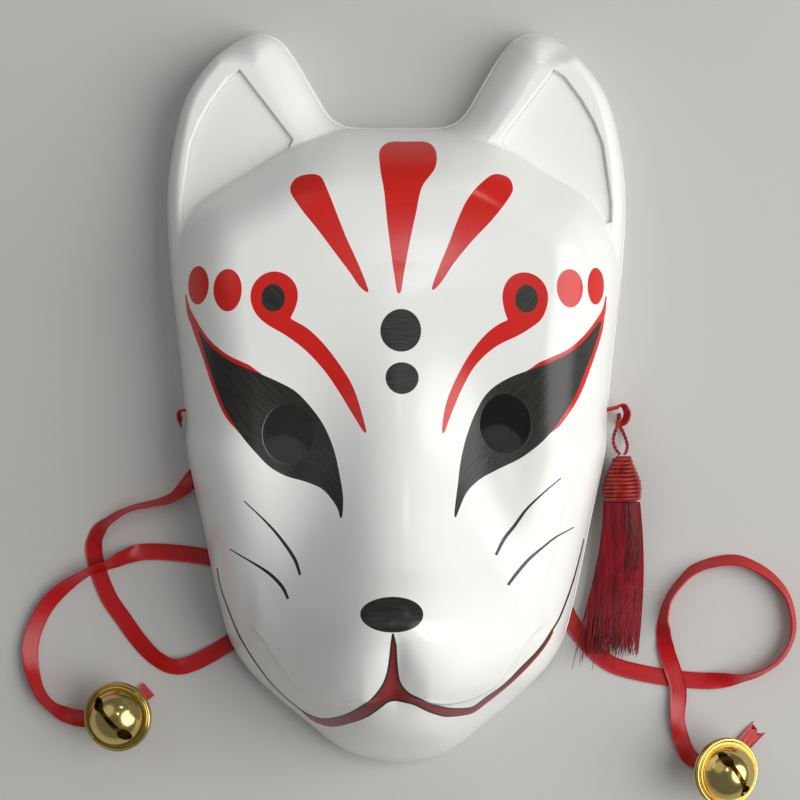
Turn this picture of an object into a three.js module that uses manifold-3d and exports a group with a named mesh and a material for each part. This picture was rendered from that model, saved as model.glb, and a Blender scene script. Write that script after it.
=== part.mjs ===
// A painted fox mask that lies on its back, with its two ribbons, their bells and one tassel.
// Millimetres. The mask's rim stands on z = 0 and its face looks along +Z. The ears are at +Y.
// The origin is on the floor, under the middle of the mask.
import * as THREE from 'three';
import { mergeVertices } from 'three/addons/utils/BufferGeometryUtils.js';
import Module from 'manifold-3d';

const wasm = await Module();
wasm.setup();

// Driving sizes of the mask
const MASK_LENGTH = 265; // ear tips to chin
const MASK_WIDTH = 167; // across the temples
const MASK_DEPTH = 86; // floor to the tip of the nose
const WALL = 2.0; // moulded shell
const LIP_WIDTH = 0.6; // small flat edge left where the shell was trimmed
const LIP_HEIGHT = 1.8;
const FACE_ROUND = 28; // how far from the rim the face has turned from wall to front
const EAR_HEIGHT = 22; // floor to the ear's raised border
const EAR_OUTER_ROUND = 6; // width of the rounded border outside the ear panel
const EAR_INNER_ROUND = 15; // width of the sloping border on the side of the other ear
const PANEL_DEPTH = 1.6; // the ear panel lies this far under its border
const ARCH_HEIGHT = 4.5; // the rim is cut away this high at the cheeks, over the ribbons
const CREASE_DEPTH = 1.8; // step under the muzzle
const EYE_WIDTH = 17.8;
const EYE_HEIGHT = 20.7;
const TIE_HOLE = 5; // round hole in each side wall, for the ribbon
const TIE_HOLE_Z = 8.5;

// Driving sizes of the ribbons, bells and tassel
const RIBBON_WIDTH = 6;
const RIBBON_THICKNESS = 0.5;
const GATHERED = 0.6; // share of the width where the ribbon passes a hole or a bell's loop
const BELL_RADIUS = 10.2;
const BELL_WALL = 0.7;
const FLANGE_RADIUS = 12.4;
const FLANGE_THICKNESS = 0.8; // of one half
const SLOT_WIDTH = 1.8;
const SLOT_LENGTH = 14;
const SLOT_HOLE = 3.4;
const LOOP_WIRE = 1.2;
const LOOP_RADIUS = 3.1; // middle of the wire
const LOOP_LEG = 0.9;
const TASSEL_HEAD_LENGTH = 16.4;
const TASSEL_HEAD_RADIUS = 7;
const SKIRT_LENGTH = 56;
const SKIRT_TOP_WIDTH = 13.4;
const SKIRT_END_WIDTH = 20;
const SKIRT_TOP_HEIGHT = 11.4;
const SKIRT_END_HEIGHT = 4.4;
const TASSEL_CORD = 1.4;

const GAP = 0.3; // between pieces that touch
const FLOOR_GAP = 0.22;
const OVER = 1.5; // how high a ribbon is lifted where it crosses itself
const IN_LOOP = 2.5; // and where it passes a bell's wire loop

const HALF_LENGTH = MASK_LENGTH / 2;
const HALF_WIDTH = MASK_WIDTH / 2;
const CROWN = MASK_DEPTH - LIP_HEIGHT;

// The outline's right half, from the notch between the ears to the chin, in shares of half the
// width and half the length.
const EAR_INNER_EDGE = [[0, 0.742], [0.15, 0.742], [0.228, 0.748], [0.288, 0.772], [0.367, 0.851],
  [0.455, 0.942], [0.515, 0.984]];
const EAR_TIP = [0.6, 1];
const EAR_OUTER_EDGE = [[0.69, 0.983], [0.807, 0.923], [0.921, 0.818], [0.983, 0.66], [1, 0.53]];
const SHOULDER = [0.984, 0.34];
const CHEEK_EDGE = [[0.955, 0.175], [0.933, 0.048], [0.907, -0.145], [0.843, -0.338], [0.77, -0.558],
  [0.712, -0.675], [0.6, -0.775], [0.394, -0.89], [0.217, -0.972]];
const CHIN = [0, -1];

// Heights along the middle and widths of the snout, in shares, from the chin up
const BASE_HEIGHT = [[-1, 0.36], [-0.83, 0.45], [-0.6, 0.49], [-0.38, 0.51], [-0.15, 0.53],
  [0.08, 0.545], [0.3, 0.55], [0.55, 0.51], [0.74, 0.42], [1, 0.3]];
const SNOUT_HEIGHT = [[-1, 0], [-0.95, 0.04], [-0.88, 0.13], [-0.8, 0.25], [-0.72, 0.37], [-0.63, 0.47],
  [-0.56, 0.505], [-0.5, 0.455], [-0.42, 0.34], [-0.3, 0.22], [-0.15, 0.11], [0, 0.045], [0.15, 0.015],
  [0.35, 0]];
const SNOUT_WIDTH = [[-1, 0.36], [-0.8, 0.42], [-0.65, 0.43], [-0.5, 0.38], [-0.3, 0.3], [0, 0.21],
  [0.35, 0.18]];
const CREASE_LINE = [[0.05, -0.755], [0.22, -0.78], [0.39, -0.755], [0.47, -0.695], [0.555, -0.622],
  [0.62, -0.595]];
const CREASE_WIDTH = 1.4; // half the width of the step
const CREASE_FADE = 22; // above the crease, the step dies away over this distance

// The face's own outline leaves the mask's outline between the ears and the temples. The ears
// show past it.
const BROW_LINE = [[0, 0.742], [0.15, 0.742], [0.26, 0.74], [0.36, 0.728], [0.47, 0.702], [0.66, 0.627],
  [0.86, 0.545], [0.95, 0.46]];
// An ear's outline runs on inside the face.
const EAR_ROOT = [[0.95, 0.2], [0.8, 0.16], [0.4, 0.4], [0.14, 0.55], [0.15, 0.735]];
const EAR_MIDDLE = [0.58, 0.66];
const PANEL_FADE = 0.2; // the shell's inner side sinks behind the panels from here
const EAR_LEVEL = 0.45;

// The ear's flat panel: its tip, its inner corner, a stretch that the face covers, its outer edge
const PANEL = [[0.667, 0.881], [0.437, 0.692], [0.5, 0.6], [0.8, 0.45], [0.918, 0.47], [0.918, 0.522],
  [0.899, 0.607], [0.882, 0.68], [0.844, 0.74], [0.79, 0.799], [0.718, 0.86]];
const EYES = [[-0.446, -0.095], [0.451, -0.069]];
const TIE_HOLE_Y = -4.5;
const ARCH_START = -0.06;
const ARCH_END = -0.815;
const ARCH_RUN = 0.09;

// Soft forms on the face, each with its rise, where it lies to the side and along, and how far
// it spreads each way
const LIPS = { rise: 0.05, side: 0.24, across: 0.19, along: -0.665, run: 0.12 };
const CHEEK = { rise: 0.035, side: 0.64, across: 0.22, along: -0.3, run: 0.24 };
const EYE_SOCKET = { rise: -0.03, side: 0.42, across: 0.24, along: -0.06, run: 0.16 };
const CHIN_BALL = { rise: 0.05, side: 0, across: 0.3, along: -0.88, run: 0.07 };
const FURROW_DEPTH = 0.04;
const FURROW_HALF_WIDTH = 0.045;
const SIDE_FALL = 0.05; // the face falls away by this share at full width
const SNOUT_POWER = 2.2; // how square the snout is across

// Mesh of the mask
const FACE_STEPS = 38;
const EAR_STEPS = 20;
const OUTER_OFFSETS = [2, 4.6];
const OUTER_RINGS = 9;
const INNER_OFFSETS = [2.4];
const INNER_RINGS = 6;
const EAR_OUTER_RINGS = 3;
const EAR_INNER_RINGS = 3;
const RING_SPREAD = 1.25; // rings lie closer together towards the rim
const SPINE = [[0, 0.34], [0, -0.8]];
const CURVE_POINTS = 12; // per stretch of an outline between two of its points
const EYE_SIDES = 20;
const TIE_HOLE_SIDES = 10;
const EAR_BLEND = 5; // the ear's two borders blend over this distance

// Mesh of the other pieces
const RIBBON_STEPS = 64;
const SKIRT_STEPS = 6;
const BELL_ARC_STEPS = 4;
const BELL_SIDES = 14;
const LOOP_STEPS = 8;
const WIRE_SIDES = 8;
const SLOT_HOLE_SIDES = 8;
const TASSEL_SIDES = 12;
const TASSEL_CORD_STEPS = 16;

const plastic = { color: 0xf4f3ee, roughness: 0.18, metalness: 0 };
const satin = { color: 0xb8141f, roughness: 0.35, metalness: 0 };
const brass = { color: 0xbfa65a, roughness: 0.22, metalness: 1 };
const silk = { color: 0x74091c, roughness: 0.45, metalness: 0 };

const clamp01 = (t) => Math.min(1, Math.max(0, t));
const mix = (a, b, t) => a + (b - a) * t;
const bump = (t) => Math.exp(-t * t);

function smooth(from, to, t) {
  const s = clamp01((t - from) / (to - from));
  return s * s * (3 - 2 * s);
}

// Height of a quarter round of the given radius, as a share, at a distance from its edge
function quarterRound(distance, radius) {
  return Math.sqrt(1 - (1 - clamp01(distance / radius)) ** 2);
}

// Value of a smooth line through [place, value] knots with rising places
function profile(knots, place) {
  const last = knots.length - 1;
  if (place <= knots[0][0]) return knots[0][1];
  if (place >= knots[last][0]) return knots[last][1];
  const i = knots.findIndex((knot) => knot[0] > place) - 1;
  const slope = (j) => {
    const before = knots[Math.max(j - 1, 0)];
    const after = knots[Math.min(j + 1, last)];
    return (after[1] - before[1]) / (after[0] - before[0]);
  };
  const run = knots[i + 1][0] - knots[i][0];
  const t = (place - knots[i][0]) / run;
  const start = (1 + 2 * t) * (1 - t) ** 2 * knots[i][1] + t * (1 - t) ** 2 * run * slope(i);
  const end = t * t * (3 - 2 * t) * knots[i + 1][1] + t * t * (t - 1) * run * slope(i + 1);
  return start + end;
}

// Points along a polyline at equal steps, both ends included
function spaced(points, steps) {
  const lengths = [0];
  for (let i = 1; i < points.length; i += 1) {
    lengths.push(lengths[i - 1] + points[i].distanceTo(points[i - 1]));
  }
  const result = [];
  let j = 1;
  for (let k = 0; k <= steps; k += 1) {
    const target = (lengths[lengths.length - 1] * k) / steps;
    while (j < points.length - 1 && lengths[j] < target) j += 1;
    const t = clamp01((target - lengths[j - 1]) / (lengths[j] - lengths[j - 1]));
    result.push(points[j - 1].clone().lerp(points[j], t));
  }
  return result;
}

// Points close together along the smooth closed line through knots given in shares
function closedLine(knots) {
  const curve = new THREE.CatmullRomCurve3(
    knots.map(([u, v]) => new THREE.Vector3(u * HALF_WIDTH, v * HALF_LENGTH, 0)),
    true,
    'centripetal',
  );
  const count = knots.length * CURVE_POINTS;
  return curve.getPoints(count).slice(0, count).map((point) => new THREE.Vector2(point.x, point.y));
}

const mirrored = (knots) => [...knots, ...knots.slice(1, -1).reverse().map(([u, v]) => [-u, v])];
const EAR_EDGE = [...EAR_INNER_EDGE, EAR_TIP, ...EAR_OUTER_EDGE, SHOULDER];
const faceKnots = [...BROW_LINE, SHOULDER, ...CHEEK_EDGE, CHIN];
const maskLine = closedLine(mirrored([...EAR_EDGE, ...CHEEK_EDGE, CHIN]));
const faceLine = closedLine(mirrored(faceKnots));

function distanceTo(line, x, y) {
  let best = Infinity;
  for (let i = 0; i < line.length; i += 1) {
    const a = line[i];
    const b = line[(i + 1) % line.length];
    const dx = b.x - a.x;
    const dy = b.y - a.y;
    const t = clamp01(((x - a.x) * dx + (y - a.y) * dy) / (dx * dx + dy * dy));
    best = Math.min(best, Math.hypot(x - a.x - t * dx, y - a.y - t * dy));
  }
  return best;
}

const swell = (form, side, v) => (
  form.rise * bump((side - form.side) / form.across) * bump((v - form.along) / form.run)
);

// Height of the face over its wall, as a share of the crown
function faceHeight(u, v) {
  const side = Math.abs(u);
  const snout = profile(SNOUT_HEIGHT, v)
    * Math.exp(-((side / profile(SNOUT_WIDTH, v)) ** SNOUT_POWER));
  const furrow = FURROW_DEPTH * bump(u / FURROW_HALF_WIDTH)
    * smooth(-0.85, -0.78, v) * (1 - smooth(-0.66, -0.56, v));
  const forms = [LIPS, CHEEK, EYE_SOCKET, CHIN_BALL].reduce((sum, form) => sum + swell(form, side, v), 0);
  return profile(BASE_HEIGHT, v) + snout + forms - furrow - SIDE_FALL * side * side;
}

function creaseStep(u, v) {
  const side = Math.abs(u);
  const above = (v - profile(CREASE_LINE, side)) * HALF_LENGTH;
  const length = smooth(0.05, 0.14, side) * (1 - smooth(0.56, 0.63, side));
  const step = smooth(-CREASE_WIDTH, CREASE_WIDTH, above);
  return CREASE_DEPTH * length * step * (1 - smooth(CREASE_WIDTH, CREASE_FADE, above));
}

// Distance past the line from the panel's tip to its inner corner, towards the other ear
function pastPanel(u, v) {
  const [tip, corner] = PANEL;
  const dx = (corner[0] - tip[0]) * HALF_WIDTH;
  const dy = (corner[1] - tip[1]) * HALF_LENGTH;
  const x = (Math.abs(u) - tip[0]) * HALF_WIDTH;
  const y = (v - tip[1]) * HALF_LENGTH;
  return (x * dy - y * dx) / Math.hypot(dx, dy);
}

// Height of the rim's edge over the floor
function rimHeight(y) {
  const v = y / HALF_LENGTH;
  return ARCH_HEIGHT * (1 - smooth(ARCH_START - ARCH_RUN, ARCH_START, v))
    * smooth(ARCH_END, ARCH_END + ARCH_RUN, v);
}

// Height of the face's surface, set in from its outline by inset and lowered by drop
function faceSurface(x, y, inset, drop) {
  const u = x / HALF_WIDTH;
  const v = y / HALF_LENGTH;
  const distance = Math.max(distanceTo(faceLine, x, y) - inset, 0);
  const crown = CROWN * faceHeight(u, v) + creaseStep(u, v) - drop;
  return crown * quarterRound(distance, FACE_ROUND) + rimHeight(y) * (1 - smooth(0, FACE_ROUND, distance));
}

function earSurface(x, y, inset, drop) {
  const distance = Math.max(distanceTo(maskLine, x, y) - inset, 0);
  const past = smooth(-EAR_BLEND, EAR_BLEND, pastPanel(x / HALF_WIDTH, y / HALF_LENGTH));
  const round = mix(EAR_OUTER_ROUND, EAR_INNER_ROUND, past);
  return (EAR_HEIGHT - LIP_HEIGHT - drop) * quarterRound(distance, round);
}

// Plan positions of the rings of a surface, from its edge to the line or point that they close on
function planRings(edge, middle, inset, offsets, rings) {
  const count = edge.length;
  const inward = edge.map((point, i) => {
    const along = edge[(i + 1) % count].clone().sub(edge[(i + count - 1) % count]).normalize();
    return new THREE.Vector2(along.y, -along.x);
  });
  const result = [0, ...offsets].map((offset) => edge.map(
    (point, i) => point.clone().addScaledVector(inward[i], inset + offset),
  ));
  const start = result[result.length - 1];
  for (let k = 1; k <= rings; k += 1) {
    const share = (k / rings) ** RING_SPREAD;
    result.push(start.map((point, i) => point.clone().lerp(middle[i], share)));
  }
  return result;
}

// Joins rings of equal length into faces that look up, or down
function skin(rings, faces, up) {
  for (let k = 0; k + 1 < rings.length; k += 1) {
    const count = rings[k].length;
    for (let i = 0; i < count; i += 1) {
      const next = (i + 1) % count;
      const corners = [rings[k][i], rings[k + 1][i], rings[k + 1][next], rings[k][next]];
      if (!up) corners.reverse();
      faces.push(corners[0], corners[1], corners[2], corners[0], corners[2], corners[3]);
    }
  }
}

function solidFromFaces(faces) {
  const positions = new Float32Array(faces.flatMap((point) => [point.x, point.y, point.z]));
  const geometry = new THREE.BufferGeometry();
  geometry.setAttribute('position', new THREE.BufferAttribute(positions, 3));
  return toManifold(geometry);
}

function toManifold(source) {
  const plain = source.clone();
  plain.deleteAttribute('normal');
  plain.deleteAttribute('uv');
  const merged = mergeVertices(plain, 1e-4);
  const index = merged.index.array;
  const kept = [];
  for (let i = 0; i < index.length; i += 3) {
    const [a, b, c] = [index[i], index[i + 1], index[i + 2]];
    if (a !== b && b !== c && a !== c) kept.push(a, b, c);
  }
  return new wasm.Manifold(new wasm.Mesh({
    numProp: 3,
    vertProperties: new Float32Array(merged.attributes.position.array),
    triVerts: new Uint32Array(kept),
  }));
}

function fromManifold(solid) {
  const mesh = solid.getMesh();
  const geometry = new THREE.BufferGeometry();
  geometry.setAttribute('position', new THREE.BufferAttribute(new Float32Array(mesh.vertProperties), 3));
  geometry.setIndex(new THREE.BufferAttribute(new Uint32Array(mesh.triVerts), 1));
  geometry.computeVertexNormals();
  return geometry;
}

function named(name, geometry, finish) {
  const mesh = new THREE.Mesh(geometry, new THREE.MeshStandardMaterial(finish));
  mesh.name = name;
  return mesh;
}

// A solid under a surface: rings up the lip and over the surface, closed below
function mound(rings, bottom, lip, surface) {
  const lift = (ring, height) => ring.map((p) => new THREE.Vector3(p.x, p.y, height(p)));
  const [edge, ...plan] = rings;
  const middle = plan[plan.length - 1];
  const faces = [];
  const layers = [lift(middle, bottom), lift(edge, bottom)];
  if (lip > 0) layers.push(lift(edge, (p) => bottom(p) + lip));
  skin([...layers, ...plan.map((ring) => lift(ring, (p) => surface(p)))], faces, true);
  return solidFromFaces(faces);
}

function mirrorRing(points) {
  return [...points, ...points.slice(1, -1).reverse().map((p) => new THREE.Vector2(-p.x, p.y))];
}

function prism(points, bottom, top) {
  const shape = new THREE.Shape(points);
  const geometry = new THREE.ExtrudeGeometry(shape, { depth: top - bottom, bevelEnabled: false });
  return toManifold(geometry.translate(0, 0, bottom));
}

const rim = (p) => rimHeight(p.y);
const below = () => -LIP_HEIGHT;
const INNER_INSET = LIP_WIDTH + WALL;
const INNER_DROP = WALL - LIP_HEIGHT;

function faceSolids() {
  const edge = mirrorRing(spaced(faceLine.slice(0, (faceKnots.length - 1) * CURVE_POINTS + 1), FACE_STEPS));
  const spine = SPINE.map(([u, v]) => new THREE.Vector2(u * HALF_WIDTH, v * HALF_LENGTH));
  const middle = mirrorRing(spaced(spine, FACE_STEPS));
  const outer = planRings(edge, middle, 0, [LIP_WIDTH, ...OUTER_OFFSETS], OUTER_RINGS);
  const inner = planRings(edge, middle, INNER_INSET, INNER_OFFSETS, INNER_RINGS);
  return [
    mound(outer, rim, LIP_HEIGHT, (p) => LIP_HEIGHT + faceSurface(p.x, p.y, LIP_WIDTH, 0)),
    mound(inner, below, 0, (p) => faceSurface(p.x, p.y, INNER_INSET, INNER_DROP)),
  ];
}

function earSolids(side) {
  const line = closedLine([...EAR_EDGE.slice(2), ...EAR_ROOT]);
  const tip = (EAR_INNER_EDGE.length - 2) * CURVE_POINTS;
  const edge = [
    ...spaced(line.slice(0, tip + 1), EAR_STEPS / 2).slice(0, -1),
    ...spaced([...line.slice(tip), line[0]], EAR_STEPS * 1.5).slice(0, -1),
  ];
  const middle = edge.map(() => new THREE.Vector2(EAR_MIDDLE[0] * HALF_WIDTH, EAR_MIDDLE[1] * HALF_LENGTH));
  const panelDrop = (p) => PANEL_DEPTH * smooth(PANEL_FADE, EAR_LEVEL, p.y / HALF_LENGTH);
  const outer = planRings(edge, middle, 0, [LIP_WIDTH, ...OUTER_OFFSETS], EAR_OUTER_RINGS);
  const inner = planRings(edge, middle, INNER_INSET, INNER_OFFSETS, EAR_INNER_RINGS);
  const panel = PANEL.map(([u, v]) => new THREE.Vector2(u * HALF_WIDTH, v * HALF_LENGTH));
  return [
    mound(outer, rim, LIP_HEIGHT, (p) => LIP_HEIGHT + earSurface(p.x, p.y, LIP_WIDTH, 0))
      .subtract(prism(panel, EAR_HEIGHT - PANEL_DEPTH, MASK_DEPTH)),
    mound(inner, below, 0, (p) => earSurface(p.x, p.y, INNER_INSET, INNER_DROP + panelDrop(p))),
  ].map((solid) => (side > 0 ? solid : solid.mirror([1, 0, 0])));
}

function maskShell() {
  let [outside, inside] = faceSolids();
  for (const side of [-1, 1]) {
    const [ear, earInside] = earSolids(side);
    outside = outside.add(ear);
    inside = inside.add(earInside);
  }
  return outside.subtract(inside);
}

function mask() {
  let solid = maskShell();
  for (const [u, v] of EYES) {
    const eye = new THREE.EllipseCurve(u * HALF_WIDTH, v * HALF_LENGTH, EYE_WIDTH / 2, EYE_HEIGHT / 2);
    solid = solid.subtract(prism(eye.getPoints(EYE_SIDES).slice(1), 0, MASK_DEPTH));
  }
  for (const side of [-1, 1]) {
    const reach = HALF_WIDTH / 3;
    const hole = new THREE.CylinderGeometry(TIE_HOLE / 2, TIE_HOLE / 2, reach, TIE_HOLE_SIDES);
    hole.rotateZ(Math.PI / 2).translate(side * (HALF_WIDTH - reach / 2), TIE_HOLE_Y, TIE_HOLE_Z);
    solid = solid.subtract(toManifold(hole));
  }
  return named('mask', fromManifold(solid), plastic);
}

// A cord's line, with the turn of its flat section and the share of its width along it
class FlatPath extends THREE.CatmullRomCurve3 {
  constructor(route) {
    super(route.map(([x, y, z]) => new THREE.Vector3(x, y, z)), false, 'centripetal');
    this.turns = route.map(([, , , turn]) => turn);
    this.widths = route.map(([, , , , width = 1]) => width);
  }

  // Value of a list that holds one number for each point of the route
  along(values, share) {
    const place = this.getUtoTmapping(share) * (values.length - 1);
    const i = Math.min(Math.floor(place), values.length - 2);
    return mix(values[i], values[i + 1], smooth(0, 1, place - i));
  }

  computeFrenetFrames(segments) {
    const frames = { tangents: [], normals: [], binormals: [] };
    for (let i = 0; i <= segments; i += 1) {
      const tangent = this.getTangentAt(i / segments);
      const across = new THREE.Vector3(tangent.y, -tangent.x, 0).normalize();
      across.applyAxisAngle(tangent, THREE.MathUtils.degToRad(this.along(this.turns, i / segments)));
      frames.tangents.push(tangent);
      frames.binormals.push(new THREE.Vector3().crossVectors(tangent, across));
      frames.normals.push(across.multiplyScalar(this.along(this.widths, i / segments)));
    }
    return frames;
  }
}

// Section of the ribbon: flat, with blunt edges, in eight points
function ribbonSection() {
  const w = RIBBON_WIDTH / 2;
  const h = RIBBON_THICKNESS / 2;
  const blunt = h / 2;
  return new THREE.Shape([[w, -blunt], [w, blunt], [w - h, h], [h - w, h], [-w, blunt], [-w, -blunt],
    [h - w, -h], [w - h, -h]].map(([x, y]) => new THREE.Vector2(x, y)));
}

// A point of a ribbon's route. The ribbon's lowest edge is lift above the floor. The turn of its
// flat section is in degrees: 0 lies flat and 90 stands on edge.
function lying(x, y, turn = 0, lift = 0, width = 1) {
  const angle = THREE.MathUtils.degToRad(Math.abs(turn));
  const reach = (RIBBON_WIDTH * width * Math.sin(angle) + RIBBON_THICKNESS * Math.cos(angle)) / 2;
  return [x, y, FLOOR_GAP + lift + reach, turn, width];
}

// A point of the route that something else holds up: its middle line is at z.
const held = (x, y, z, turn = 0, width = 1) => [x, y, z, turn, width];

const LEFT_ROUTE = [
  held(-78.3, -9.4, 3.6, 78, 0.7), held(-78.9, -7, 6, 82, 0.7), held(-78.2, -4.9, 8.1, 84, GATHERED),
  held(-76, -4.5, TIE_HOLE_Z, 90, GATHERED), held(-71.6, -4.5, TIE_HOLE_Z, 85, GATHERED),
  held(-68.4, -10, 5.4, 40), held(-68, -18, 2, 10), lying(-69.6, -23.5), lying(-72.9, -28),
  lying(-81.7, -36.4, 60), lying(-89, -38.6, 74), lying(-96.7, -40.4, 76), lying(-104, -44.4, 64),
  lying(-109.1, -49.8, 28), lying(-110.4, -56.5), lying(-105.4, -72.2), lying(-99.6, -81),
  lying(-93.4, -89.4, 8), lying(-87.5, -95.2, 18), lying(-81.7, -98.1, 18), lying(-75.5, -97.4, 8),
  lying(-60.1, -89), lying(-51, -82), lying(-47, -74), lying(-51, -65.5), lying(-58.5, -61.2),
  lying(-76.2, -57.2, 0, 0.2), lying(-93.4, -56.5, 0, 0.5), lying(-99.6, -58.4, -35, 0.8), lying(-105.5, -61.2, -60, OVER),
  lying(-112.8, -63.8, -64, 0.9), lying(-127, -75.1, -30), lying(-133.6, -91.6, -25),
  lying(-129.9, -107.3, -64), lying(-125.5, -112.4, -68), lying(-119.7, -115.8, -35, 0.4),
  lying(-112.5, -117.2, 0, 1.3), lying(-106, -116.2, 0, 2.2, 0.8),
  lying(-99.8, -114.3, 0, IN_LOOP, GATHERED), lying(-90.4, -106.4),
];
const RIGHT_ROUTE = [
  held(79.6, -9.6, 5.2, -70, 0.8), held(82.6, -8.9, 5.6, -70, 0.9), held(83.8, -5.6, 6.2, -70, 0.9),
  held(82.2, -2.8, 7.2, -75, 0.8), held(79.2, -3.6, 8.3, -80, GATHERED),
  held(75, -4.5, TIE_HOLE_Z, -80, GATHERED), held(71.6, -4.8, 8.1, -60, GATHERED),
  held(68.4, -7.4, 6.6, -20, 0.8), held(66.2, -13, 4.2, -20),
  held(65, -20, 1.8, -10), lying(63.5, -30), lying(59.4, -54), lying(58.4, -65), lying(60.4, -74),
  lying(65.2, -84), lying(76.6, -96.3), lying(90.1, -100.7, 0, 0.1), lying(112.4, -103.4, 0, 0.35),
  lying(128.1, -101.8, 62), lying(135.4, -98.8, 68), lying(140.9, -94, 66), lying(144.6, -85, 66),
  lying(142.7, -73.3, 66), lying(138, -66.7, 62), lying(131.4, -62, 58), lying(123.4, -59.2, 58),
  lying(109.5, -62, 66), lying(103.3, -67.4, 74), lying(99.2, -73.3, 76), lying(97.4, -79.5, 66),
  lying(97.4, -86.1, 40), lying(98.6, -92.6, 12, 0.5), lying(100.8, -99.4, 0, OVER),
  lying(102.7, -106, 0, OVER - 0.2), lying(102.5, -117.5, -25), lying(104, -124.8, -12),
  lying(106.6, -130.6, -5, 0.8), lying(111.5, -133.6, 0, 2, 0.8),
  lying(118.1, -134.3, 0, IN_LOOP, 0.5), lying(130.6, -122.4),
];

// Where the bells lie, how far each leans to +X, and the turns of its slot and of its loop
const LEFT_BELL = [-99.8, -114.3, -0.19, -0.83, 0.42];
const RIGHT_BELL = [118.1, -134.2, 0.34, -1.0, 0.16];

// The tassel head's radius along it, in shares of its length and greatest radius
const HEAD_PROFILE = [[0, 0], [0, 0.44], [0.21, 0.62], [0.38, 0.8], [0.56, 0.96], [0.74, 1], [0.93, 0.96],
  [1, 0.88], [1, 0]];

// The tassel's place at the right tie, and the route of the cord that holds it
const TASSEL_X = 0.895 * HALF_WIDTH + TASSEL_HEAD_RADIUS;
const TASSEL_Y = -0.16 * HALF_LENGTH;
const SKIRT_SWAY = -3.4;
const SKIRT_LIFT = 1.6;
const TASSEL_CORD_ROUTE = [
  [80.9, -20.6, 7.1], [79.3, -18.4, 6.7], [78.6, -15.6, 6.8], [78.9, -12.9, 8.2], [79.6, -10.8, 9.2],
  [80.4, -8.8, 9.1], [80.8, -7, 7.6], [80.8, -6.2, 5], [80.8, -6.9, 2.2], [81.4, -9.4, 1],
  [82.8, -13, 1.5], [83.8, -16.4, 3.4], [83.6, -18.8, 5.8], [82.7, -20.6, 7.1],
];

function ribbon(name, route) {
  const geometry = new THREE.ExtrudeGeometry(ribbonSection(), {
    steps: RIBBON_STEPS,
    extrudePath: new FlatPath(route),
    bevelEnabled: false,
  });
  return named(name, geometry, satin);
}

// Half of a bell, open at its flange, turned round its own axis. Its dome points up.
function bellHalf(slotted) {
  const inside = BELL_RADIUS - BELL_WALL;
  const arc = (radius, k, from, to) => {
    const angle = mix(from, to, k / BELL_ARC_STEPS);
    return new THREE.Vector2(radius * Math.sin(angle), radius * Math.cos(angle));
  };
  const profilePoints = [];
  const edge = Math.acos((GAP / 2 + FLANGE_THICKNESS) / BELL_RADIUS);
  const innerEdge = Math.acos(GAP / 2 / inside);
  for (let k = 0; k <= BELL_ARC_STEPS; k += 1) profilePoints.push(arc(inside, k, 0, innerEdge));
  profilePoints.push(new THREE.Vector2(FLANGE_RADIUS, GAP / 2));
  profilePoints.push(new THREE.Vector2(FLANGE_RADIUS, GAP / 2 + FLANGE_THICKNESS));
  for (let k = 0; k <= BELL_ARC_STEPS; k += 1) profilePoints.push(arc(BELL_RADIUS, k, edge, 0));
  profilePoints[0].x = 0;
  profilePoints[profilePoints.length - 1].x = 0;
  const lathe = new THREE.LatheGeometry(profilePoints, BELL_SIDES);
  lathe.rotateX(Math.PI / 2);
  let solid = toManifold(lathe);
  if (slotted) {
    const w = SLOT_WIDTH / 2;
    const l = SLOT_LENGTH / 2;
    const slot = [[-l, -w], [l, -w], [l, w], [-l, w]].map(([x, y]) => new THREE.Vector2(x, y));
    solid = solid.subtract(prism(slot, GAP, FLANGE_RADIUS));
    for (const end of [-1, 1]) {
      const hole = new THREE.EllipseCurve(end * l, 0, SLOT_HOLE / 2, SLOT_HOLE / 2);
      solid = solid.subtract(prism(hole.getPoints(SLOT_HOLE_SIDES).slice(1), GAP, FLANGE_RADIUS));
    }
  }
  return solid;
}

// Wire loop under the crown: two short legs and a half ring
function bellLoop() {
  const top = -BELL_RADIUS - GAP;
  const low = top - LOOP_LEG;
  const points = [new THREE.Vector3(0, -LOOP_RADIUS, top)];
  for (let k = 0; k <= LOOP_STEPS; k += 1) {
    const angle = (Math.PI * k) / LOOP_STEPS;
    const down = LOOP_RADIUS * Math.sin(angle);
    points.push(new THREE.Vector3(0, -LOOP_RADIUS * Math.cos(angle), low - down));
  }
  points.push(new THREE.Vector3(0, LOOP_RADIUS, top));
  return roundCord(points, LOOP_WIRE, LOOP_STEPS + 2);
}

function roundCord(points, diameter, steps) {
  const circle = new THREE.EllipseCurve(0, 0, diameter / 2, diameter / 2);
  return new THREE.ExtrudeGeometry(new THREE.Shape(circle.getPoints(WIRE_SIDES).slice(1)), {
    steps,
    extrudePath: new THREE.CatmullRomCurve3(points, false, 'centripetal'),
    bevelEnabled: false,
  });
}

// A bell that lies on its loop, with the slotted half up
function bell(side, x, y, lean, slotTurn, loopTurn) {
  const whole = new THREE.Group();
  const height = FLOOR_GAP + LOOP_WIRE / 2 + LOOP_RADIUS + LOOP_LEG + GAP + BELL_RADIUS;
  const front = named(`${side}_bell_front`, fromManifold(bellHalf(true)), brass);
  front.rotation.z = slotTurn;
  const back = named(`${side}_bell_back`, fromManifold(bellHalf(false)), brass);
  back.rotation.x = Math.PI;
  const upper = new THREE.Group();
  upper.add(front, back);
  upper.rotation.y = lean;
  const loop = named(`${side}_bell_loop`, bellLoop(), brass);
  loop.rotation.z = loopTurn;
  whole.add(upper, loop);
  whole.position.set(x, y, height);
  return whole;
}

// Head of the tassel: cord wound round the neck of the skirt, lying along -Y
function tasselHead() {
  const points = HEAD_PROFILE.map(([along, wide]) => (
    new THREE.Vector2(wide * TASSEL_HEAD_RADIUS, along * TASSEL_HEAD_LENGTH)
  ));
  return new THREE.LatheGeometry(points, TASSEL_SIDES).rotateX(Math.PI);
}

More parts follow.
